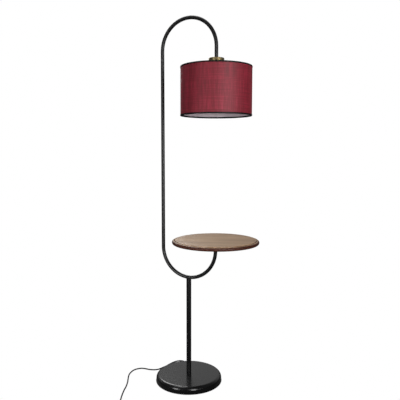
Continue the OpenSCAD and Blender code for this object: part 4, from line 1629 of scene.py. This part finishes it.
@dataclass(frozen=True)
class Hoop(Part):
    """The pole and the bent tube that carries the table and the lamp holder.

    Attributes:
        pole_r: The pole's radius.
        pole_top: Height of the pole's flat top, beside the saddle.
        low_centre: Height of the lower bend's centre.
        high_centre: Height of the arch's centre.
        joint: Height at which the two halves meet.
        stem_top: Height of the lower half's end under the table.
        arm_end: Height of the arch's end over the lamp holder.
        weld_y: How far from the hoop's plane the saddle's edge is.
    """

    pole_r: float = 11
    pole_top: float = 476
    low_centre: float = 612
    high_centre: float = 1486
    joint: float = 900
    stem_top: float = 640
    arm_end: float = 1436
    weld_y: float = 6.95

    def saddle(self, x: float, y: float, gap: float = 0.0) -> float:
        """Finds the height of the bent tube's underside over the pole's top.

        Args:
            x: The point's x.
            y: The point's y.
            gap: How far below the tube it stays.

        Returns:
            The height.
        """
        reach = TUBE_R + gap
        if abs(y) >= reach:
            return self.pole_top
        middle = self.low_centre - math.sqrt(HOOP_R**2 - x**2)
        return min(self.pole_top, middle - math.sqrt(reach**2 - y**2))

    def build(self) -> None:
        """Makes the tubes and their welds."""
        self.pole()
        self.welds()
        leg = -HOOP_R
        low = [(leg, self.joint), (leg, 750), *arc(0, self.low_centre, HOOP_R, 180, 360, 60)]
        high = [(leg, self.joint + 0.1), (leg, 1200), *arc(0, self.high_centre, HOOP_R, 180, 0, 60)]
        for name, node, line in (
            ("hoop_lower_tube", "lower_hoop", [*low, (HOOP_R, self.stem_top)]),
            ("hoop_upper_tube", "upper_hoop", [*high, (HOOP_R, self.arm_end)]),
        ):
            path = [Vector((x, 0, z)) for x, z in line]
            tube = pipe(path, TUBE_R, TUBE_R - TUBE_WALL, 0.35, 40)
            self.piece(name, tube, Slot.BLACK_PAINT, [node])
        self.shop.dress(Slot.ZINC, "hoop_sleeve", "arm_bush")
        self.shop.dress(Slot.RUBBER, "inner_cable")

    def pole(self) -> None:
        """The pole, with the saddle in its top."""
        sides, ease, gap, rim = 64, 0.4, 0.05, 4
        foot, middle = Base.height, 240
        rows = [circle(self.pole_r - ease, foot, sides), circle(self.pole_r, foot + ease, sides)]
        rows.append(circle(self.pole_r, middle, sides))
        for radius in (self.pole_r, self.pole_r - rim):
            ring = circle(radius, 0, sides)
            rows.append([Vector((p.x, p.y, self.saddle(p.x, p.y, gap))) for p in ring])
        self.piece("pole_tube", Shape().skin(rows), Slot.BLACK_PAINT, ["pole"])

    def welds(self) -> None:
        """The welds round the pole's top and under the table."""
        half_turn = math.asin(self.weld_y / self.pole_r)
        corner_x = 0.775 * self.pole_r
        seam: list[Vector] = []
        for way in (1, -1):
            for k in range(13):
                turn = half_turn * (1 - 2 * k / 12)
                x, y = way * self.pole_r * math.cos(turn), way * self.pole_r * math.sin(turn)
                seam.append(Vector((x, y, self.saddle(x, y))))
            for k in range(1, 8):
                seam.append(Vector((way * corner_x * (1 - 2 * k / 8), -way * self.weld_y, self.pole_top)))
        bead = sweep(seam, disc(0.9, 10), closed=True)
        stem = sweep(circle(TUBE_R, 0, 48), disc(1.1, 10), closed=True)
        bead.joined(stem.moved(at((HOOP_R, 0, self.stem_top))))
        self.piece("hoop_welds", bead, Slot.BLACK_PAINT, crease=60)


# ---------- table ----------


@dataclass(frozen=True)
class Table(Part):
    """The round walnut table with a step round its top face and a rounded edge.

    Attributes:
        under: Height of its lower face.
        radius: Its radius.
        thick: Its thickness.
        bead: Radius of its half-round edge.
        inset: How far in the step is.
        groove: Radius of the groove below the step.
        ease: Radius of the step's upper edge.
        flange_r: Radius of the flange below it.
        flange: Thickness of that flange.
        screw_r: How far from its middle the flange's screws are.
    """

    under: float = 644
    radius: float = 190
    thick: float = 18
    bead: float = 8
    inset: float = 12
    groove: float = 1.5
    ease: float = 1.2
    flange_r: float = 45
    flange: float = 4
    screw_r: float = 34

    def home(self) -> Matrix:
        """The middle of the lower face."""
        return at((HOOP_R, 0, self.under))

    def build(self) -> None:
        """Makes the top, the flange below it and the screws."""
        step, ease, bead = self.radius - self.inset, self.ease, self.bead
        top = [Vector((r, self.thick)) for r in (0, 60, 130)]
        top += arc(step - ease, self.thick - ease, ease, 90, 0, 6)
        top += arc(step + self.groove, 2 * bead, self.groove, 182, 356, 10)
        top += arc(self.radius - bead, bead, bead, 84, -90, 32)
        top += vectors((120, 0), (0, 0))
        self.piece("table_disc", revolve(top, 224, False), Slot.WALNUT, ["table_top"], crease=40)
        low, bore = -self.flange, 8.2
        flange = [(bore, low, 0), (self.flange_r, low, 1.2), (self.flange_r, 0, 0.3), (bore, 0, 0)]
        plate = revolve(rounded(flange), 96)
        self.piece("table_plate", plate, Slot.BLACK_PAINT, ["table_flange"])
        head = screw_head(radius=4.5, height=2.6).moved(at((self.screw_r, 0, low)))
        turned = spun(45)
        self.piece("table_plate_screws", head, Slot.SCREW_STEEL, ["table_screws"], count=4, place=turned)


# ---------- lamp holder, shade and bulb ----------


@dataclass(frozen=True)
class Holder(ShadeSide):
    """The brass cup and the lamp holder inside it.

    Attributes:
        cup_r: Radius of the cup at its rolled rim.
        cup_low: Height of the cup's rim.
        cup_top: Height of the cup's top.
        cup_wall: Thickness of the cup.
        cap_low: Height of the cap's lower edge.
        cap_top: Height of the cap's top.
        cap_r: Radius of the cap.
    """

    cup_r: float = 34
    cup_low: float = 1398
    cup_top: float = 1436
    cup_wall: float = 1.2
    cap_low: float = 1408.8
    cap_top: float = 1430.8
    cap_r: float = 20

    def build(self) -> None:
        """Makes the cup, the holder's cap and body, and its two collars."""
        wall, low, top = self.cup_wall, self.cup_low, self.cup_top
        side, rim, bend = self.cup_r - 0.3, 0.9, 2.4
        cup = vectors((BORE_R, top), (9, top))
        cup += arc(side - bend, top - bend, bend, 90, 0, 8)
        cup += vectors((side, low + 2.6))
        cup += arc(self.cup_r - rim, low + rim, rim, 45, -180, 12)
        cup += vectors((side - wall, low + 1.6), (side - wall, top - 3.4))
        cup += arc(side - wall - 2, top - wall - 2, 2, 0, 90, 5)
        cup += vectors((BORE_R, top - wall))
        shape = revolve(cup, 128)
        self.piece("holder_brass_cup", shape, Slot.ANTIQUE_BRASS, ["holder_cup"])
        self.cap()
        self.body()
        self.collars()
        self.shop.dress(Slot.YELLOW_BRASS, "holder_nut", "holder_nipple")
        self.shop.dress(Slot.CERAMIC, "holder_core")

    def cap(self) -> None:
        """The cap, with a fluted skirt."""
        low, top, skirt = self.cap_low, self.cap_top, self.cap_low + 11
        skirt_r, wall = self.cap_r - 0.4, 2.5
        profile = [
            (BORE_R, top, 0), (self.cap_r, top, 5), (self.cap_r, skirt, 0.5), (skirt_r, skirt, 0.2),
            (skirt_r, low, 0.5), (18, low, 0.3), (18, top - wall, 3), (BORE_R, top - wall, 0),
        ]
        cap = revolve(rounded(profile), 96)
        self.piece("holder_top_cap", cap, Slot.HOLDER_PLASTIC, ["holder_cap"])
        line = vectors(*((skirt_r + 0.15, 0, low + z) for z in (0.6, 1.4, 9.6, 10.4)))
        flute = sweep(line, disc(0.75, 10), side=(1, 0, 0), scales=[0.3, 1, 1, 0.3])
        self.piece("holder_cap_flutes", flute, Slot.HOLDER_PLASTIC, count=36)

    def body(self) -> None:
        """The threaded body and the brass shell inside it."""
        body = threaded(radius=19, wall=2.5, low=1370.8, high=1408.7, pitch=2.6, depth=0.45)
        self.piece("holder_thread", body, Slot.HOLDER_PLASTIC, ["holder_body"])
        shell = threaded(radius=14.1, wall=0.35, low=1375.7, high=1399.7, pitch=3.6, depth=0.22)
        self.piece("holder_brass_shell", shell, Slot.YELLOW_BRASS, ["socket_shell"])

    def collars(self) -> None:
        """Two ribbed collars that clamp the shade's hub."""
        bore, neck, flare, tall = 19.1, 24.5, 28.5, 8
        for name, node, base, up in (
            ("collar_below", "lower_collar", 1372.8, 1),
            ("collar_above", "upper_collar", 1390.5, -1),
        ):
            corners = [
                (bore, base, 0.3), (neck, base, 1.2), (neck + 0.8, base + up * 4.6, 1),
                (flare, base + up * 5.4, 0.6), (flare, base + up * tall, 0.4), (bore, base + up * tall, 0),
            ]
            ring = revolve(rounded(corners, 4), 96)
            self.piece(name, ring, Slot.HOLDER_PLASTIC, [node])
            path = vectors(*((neck + 0.1 + 0.1 * z, 0, base + up * z) for z in (0.5, 1.2, 4.4, 5.2)))
            grip = sweep(path, disc(0.8, 8), side=(1, 0, 0), scales=[0.4, 1, 1, 0.6])
            self.piece(f"{name}_grips", grip, Slot.HOLDER_PLASTIC, count=30)


@dataclass(frozen=True)
class Shade(ShadeSide):
    """The drum shade: fabric on a film liner, ribbon trims, two wire rings and a spider.

    Attributes:
        radius: The drum's radius.
        low: Height of its lower edge.
        top: Height of its upper edge.
        edge: How far the cloth ends inside the trims.
        layer: Thickness of the cloth, and of the liner.
        wire_r: Radius of the rings' wire.
        ring_r: Radius of the rings' middle line.
        hub_z: Height of the hub's middle.
        spoke_r: Radius of a spoke.
    """

    radius: float = 152
    low: float = 1194.65
    top: float = 1400.65
    edge: float = 0.9
    layer: float = 0.8
    wire_r: float = 1.75
    ring_r: float = 147.55
    hub_z: float = 1381.65
    spoke_r: float = 1.5

    def build(self) -> None:
        """Makes the cloth, the trims and the wire frame."""
        cloth = self.drum("shade_cloth", "shade_fabric", Slot.FABRIC, self.radius)
        self.drum("shade_lining", "shade_liner", Slot.LINER, self.radius - self.layer - 0.1)
        trims = [
            self.band("shade_ribbon_low", "shade_bottom_trim", self.low, 1, 144.9),
            self.band("shade_ribbon_top", "shade_top_trim", self.top, -1, 149.4),
        ]
        mean_r = (self.radius - self.layer / 2) * MM
        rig.sheet(
            cloth,
            flat=(2 * math.pi * mean_r, (self.top - self.low - 2 * self.edge) * MM),
            held="stretched",
            rests_on=["shade_lining"],
            with_pieces=[*trims, self.seam()],
        )
        self.wires()
        self.spider()

    def drum(self, name: str, node: str, slot: Slot, radius: float) -> Piece:
        """Makes one thin layer of the drum.

        Args:
            name: The piece's name.
            node: The CAD node that it replaces.
            slot: Its finish.
            radius: Its outer radius.

        Returns:
            The piece.
        """
        heights = between(self.low + self.edge, self.top - self.edge, 24)
        profile = [Vector((radius, z)) for z in heights]
        profile += [Vector((radius - self.layer, z)) for z in reversed(heights)]
        return self.piece(name, revolve(profile, 240), slot, [node])

    def seam(self) -> Piece:
        """The lapped edge of the cloth, at the back."""
        start, end, sunk, raised = math.radians(114), math.radians(117.4), -0.3, 0.35
        inset = self.edge + 5.4
        rows: Rows = []
        for z in (self.low + inset, (self.low + self.top) / 2, self.top - inset):
            corners = ((sunk, start), (raised, start), (raised, end), (sunk, end))
            rows.append([polar(self.radius + lift, turn, z) for lift, turn in corners])
        return self.piece("shade_seam", Shape().skin(rows), Slot.FABRIC)

    def band(self, name: str, node: str, edge: float, up: int, inner: float) -> Piece:
        """Makes a ribbon that is folded over one edge of the drum.

        Args:
            name: The piece's name.
            node: The CAD node that it replaces.
            edge: Height of the drum's edge.
            up: 1 for the lower edge, -1 for the upper one.
            inner: The fold's inner radius.

        Returns:
            The piece.
        """
        outer, thick, bend, soft = self.radius + 0.9, 0.75, 0.7, 0.2
        rim, inside = edge + up * 6.0, edge + up * 0.8
        corners = [
            (inner, rim, soft), (inner, edge, bend), (outer, edge, bend), (outer, rim, soft),
            (outer - thick, rim, soft), (outer - thick, inside, 0),
            (inner + thick, inside, 0), (inner + thick, rim, soft),
        ]
        fold = revolve(rounded(corners, 4), 240)
        return self.piece(name, fold, Slot.RIBBON, [node], crease=50)

    def wires(self) -> None:
        """The two wire rings."""
        inset = self.edge + self.wire_r
        for name, z, node in (
            ("shade_low_wire", self.low + inset, "shade_bottom_ring"),
            ("shade_top_wire", self.top - inset, "shade_carrier"),
        ):
            wire = revolve(arc(self.ring_r, z, self.wire_r, 0, 345, 23), 160)
            self.piece(name, wire, Slot.WHITE_PAINT, [node])

    def spider(self) -> None:
        """The hub and its three spokes, with a blob of weld at both ends of each."""
        low, high, hole, rim = self.hub_z - 0.75, self.hub_z + 0.75, 19.4, 32
        hub = rounded([(hole, low, 0.2), (rim, low, 0.5), (rim, high, 0.5), (hole, high, 0.2)], 3)
        self.piece("shade_hub", revolve(hub, 96), Slot.WHITE_PAINT)
        start = Vector((30.25, 0, self.hub_z))
        end = Vector((self.ring_r, 0, self.top - self.edge - self.wire_r))
        bent = start.lerp(end, 0.06) - Vector((0, 0, 0.8))
        line = smooth([start, bent, start.lerp(end, 0.3), start.lerp(end, 0.7), end], 6)
        spoke = sweep(line, disc(self.spoke_r, 14), side=(0, 1, 0))
        for place, size in ((start.lerp(end, 0.01), 2.1), (end, 2.3)):
            blob = revolve(arc(0, 0, size, 90, -90, 10), 18, False)
            spoke.joined(blob.moved(at(place) @ Matrix.Diagonal((1.2, 1.2, 0.75, 1.0))))
        self.piece("shade_spokes", spoke, Slot.WHITE_PAINT, count=3, place=spun(90), crease=60)


@dataclass(frozen=True)
class Bulb(ShadeSide):
    """The bulb: a threaded cap, a plastic housing and an opal globe.

    Attributes:
        centre: Height of the globe's middle.
        radius: The globe's radius.
        glass: Thickness of the globe.
    """

    centre: float = 1318.8
    radius: float = 30
    glass: float = 1.2

    def build(self) -> None:
        """Makes its three pieces."""
        globe = arc(0, self.centre, self.radius, -90, 15, 40)
        globe += reversed(arc(0, self.centre, self.radius - self.glass, -90, 15, 40))
        shape = revolve(globe, 96, False)
        self.piece("bulb_opal_globe", shape, Slot.OPAL_GLASS, ["bulb_globe"])
        cone = [(0, 1326.9, 0), (28.9, 1326.9, 0.4), (28.6, 1331, 1), (24.0, 1347, 20), (15.5, 1366, 8)]
        cone += [(13.2, 1370.7, 0.4), (0, 1370.7, 0)]
        housing = revolve(rounded(cone, 6, False), 96, False)
        self.piece("bulb_neck", housing, Slot.WHITE_PLASTIC, ["bulb_housing"])
        cap = threaded(radius=13, wall=0.4, low=1370.9, high=1392, pitch=3.6, depth=0.6)
        tip = [(12.4, 1391.6, 0), (12.2, 1393.4, 0.8), (6, 1394.6, 0.6), (4.5, 1395, 0.3)]
        tip += [(4.4, 1399.4, 0.8), (0, 1399.7, 0)]
        cap.joined(revolve([Vector((0, 1391.6)), *rounded(tip, 3, False)], 64, False))
        self.piece("bulb_screw_cap", cap, Slot.NICKEL, ["bulb_cap"])


# ---------- studio ----------


@dataclass(frozen=True)
class SoftLight:
    """A soft area light that stands round the lamp and faces it, in metres.

    Attributes:
        name: The light's name.
        turn: Degrees from the camera's side, to its right.
        reach: Distance from the pole.
        height: Height of its middle.
        aim: Height of the point of the pole that it faces.
        width: Its width.
        tall: Its other side.
        power: Its power in watts.
        spread: Degrees of the cone that its grid lets through.
    """

    name: str
    turn: float
    reach: float
    height: float
    aim: float
    width: float
    tall: float
    power: float
    spread: float = 180

    def build(self) -> None:
        """Hangs the light in the studio."""
        data = bpy.data.lights.new(self.name, "AREA")
        data.shape = "RECTANGLE"
        data.size, data.size_y = self.width, self.tall
        data.energy = self.power
        data.spread = math.radians(self.spread)
        place = stand(Viewpoint.azimuth + math.radians(self.turn), self.reach, self.height)
        way = Vector((0, 0, self.aim)) - place
        facing = way.to_track_quat("-Z", "Y").to_matrix().to_4x4()
        show(self.name, data).matrix_world = at(place) @ facing


LIGHTS = (
    SoftLight("key_light", 36, 2.6, 1.5, 1.35, 1.2, 1.4, 4.0, 38),
    SoftLight("fill_light", -34, 2.6, 1.5, 1.35, 1.3, 1.5, 1.2, 40),
    SoftLight("low_right_light", 16, 2.6, 0.8, 0.0, 0.8, 1.5, 7.5, 80),
    SoftLight("low_left_light", -44, 2.6, 0.8, 0.0, 0.7, 1.5, 4.4, 60),
    SoftLight("back_light", -164, 2.6, 2.3, 0.2, 1.2, 0.8, 28),
    SoftLight("top_light", -150, 0.7, 3.0, 0.8, 1.6, 1.6, 26),
)


class Studio:
    """A white studio: a pale floor, a bright wall behind the lamp, and soft lights."""

    def build(self) -> None:
        """Makes the floor, the surroundings and the lights."""
        self.floor()
        self.surroundings()
        bpy.context.scene.view_settings.view_transform = "Standard"
        for light in LIGHTS:
            light.build()

    def whitened(self, tree: Tree, lit: bpy.types.Node, kind: str) -> Socket:
        """Makes a shader that the camera sees as white, while it lights and mirrors as it is.

        Args:
            tree: The tree that it is in.
            lit: The shader that lights and mirrors.
            kind: The type of node that shines white.

        Returns:
            The mixed shader.
        """
        ray = add(tree, "ShaderNodeLightPath").outputs["Is Camera Ray"]
        white = add(tree, kind, {"Color": (1, 1, 1, 1), "Strength": 1.0})
        inputs = {0: ray, 1: lit.outputs[0], 2: white.outputs[0]}
        return add(tree, "ShaderNodeMixShader", inputs).outputs[0]

    def floor(self) -> None:
        """The floor, just under the felt pad."""
        reach, z = 6.0, -0.0004
        mesh = bpy.data.meshes.new("studio_floor")
        corners = [(-reach, -reach, z), (reach, -reach, z), (reach, reach, z), (-reach, reach, z)]
        mesh.from_pydata(corners, [], [(0, 1, 2, 3)])
        recipe = Recipe("studio_floor")
        pale = add(recipe.tree, "ShaderNodeBsdfDiffuse", {"Color": linear("#686868")})
        shader = self.whitened(recipe.tree, pale, "ShaderNodeEmission")
        add(recipe.tree, "ShaderNodeOutputMaterial", {"Surface": shader})
        mesh.materials.append(recipe.material)
        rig.stage(show("studio_floor", mesh))

    def surroundings(self) -> None:
        """A dim room with a bright band on the wall behind the lamp."""
        scene = bpy.context.scene
        scene.world = scene.world or bpy.data.worlds.new("studio")
        scene.world.use_nodes = True
        tree = scene.world.node_tree
        tree.nodes.clear()
        way = add(tree, "ShaderNodeTexCoord").outputs["Generated"]
        height = add(tree, "ShaderNodeSeparateXYZ", {0: way}).outputs["Z"]
        behind = (-math.sin(Viewpoint.azimuth), math.cos(Viewpoint.azimuth), 0)
        facing = add(tree, "ShaderNodeVectorMath", {0: way, 1: behind}, operation="DOT_PRODUCT")

        def grade(value: Socket, start: float, end: float, low: float, high: float) -> Socket:
            """A value that passes from low at start to high at end."""
            inputs = {"Value": value, "From Min": start, "From Max": end, "To Min": low, "To Max": high}
            return add(tree, "ShaderNodeMapRange", inputs).outputs[0]

        lit = grade(height, 0.02, 0.36, 0.02, 0.16)
        rise = grade(height, 0.12, 0.36, 0.0, 0.45)
        fade = grade(height, 0.6, 0.85, 1.0, 0.0)
        side = grade(facing.outputs["Value"], 0.1, 0.7, 0.0, 1.0)
        wall = add(tree, "ShaderNodeMath", {0: rise, 1: fade}, operation="MULTIPLY").outputs[0]
        glow = add(tree, "ShaderNodeMath", {0: wall, 1: side, 2: lit}, operation="MULTIPLY_ADD")
        sky = add(tree, "ShaderNodeBackground", {"Color": (1, 1, 1, 1), "Strength": glow.outputs[0]})
        shader = self.whitened(tree, sky, "ShaderNodeBackground")
        add(tree, "ShaderNodeOutputWorld", {"Surface": shader})


def corners_of(bounds: object) -> list[list[float]]:
    """A box's corners as plain numbers."""
    return [[float(x) for x in corner] for corner in bounds]


def main() -> None:
    """Builds the visual model on the frame and reports its pieces."""
    logging.basicConfig(level=logging.INFO, format="%(message)s")
    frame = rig.load()
    cad_box = corners_of(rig.bounds())
    Viewpoint().build()
    shop = Workshop(frame["nodes"])
    for part in (Flex, Base, Hoop, Table, Holder, Shade, Bulb):
        part(shop).build()
        logging.info("%s done, %d pieces so far", part.__name__, len(shop.made))
    Studio().build()
    with open("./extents.json", "w", encoding="utf-8") as out:
        json.dump({"cad": cad_box, "visual": corners_of(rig.bounds())}, out)
    for piece in shop.made:
        logging.info("%s: %d faces", piece.name, len(piece.data.polygons))


if __name__ == "__main__":
    main()
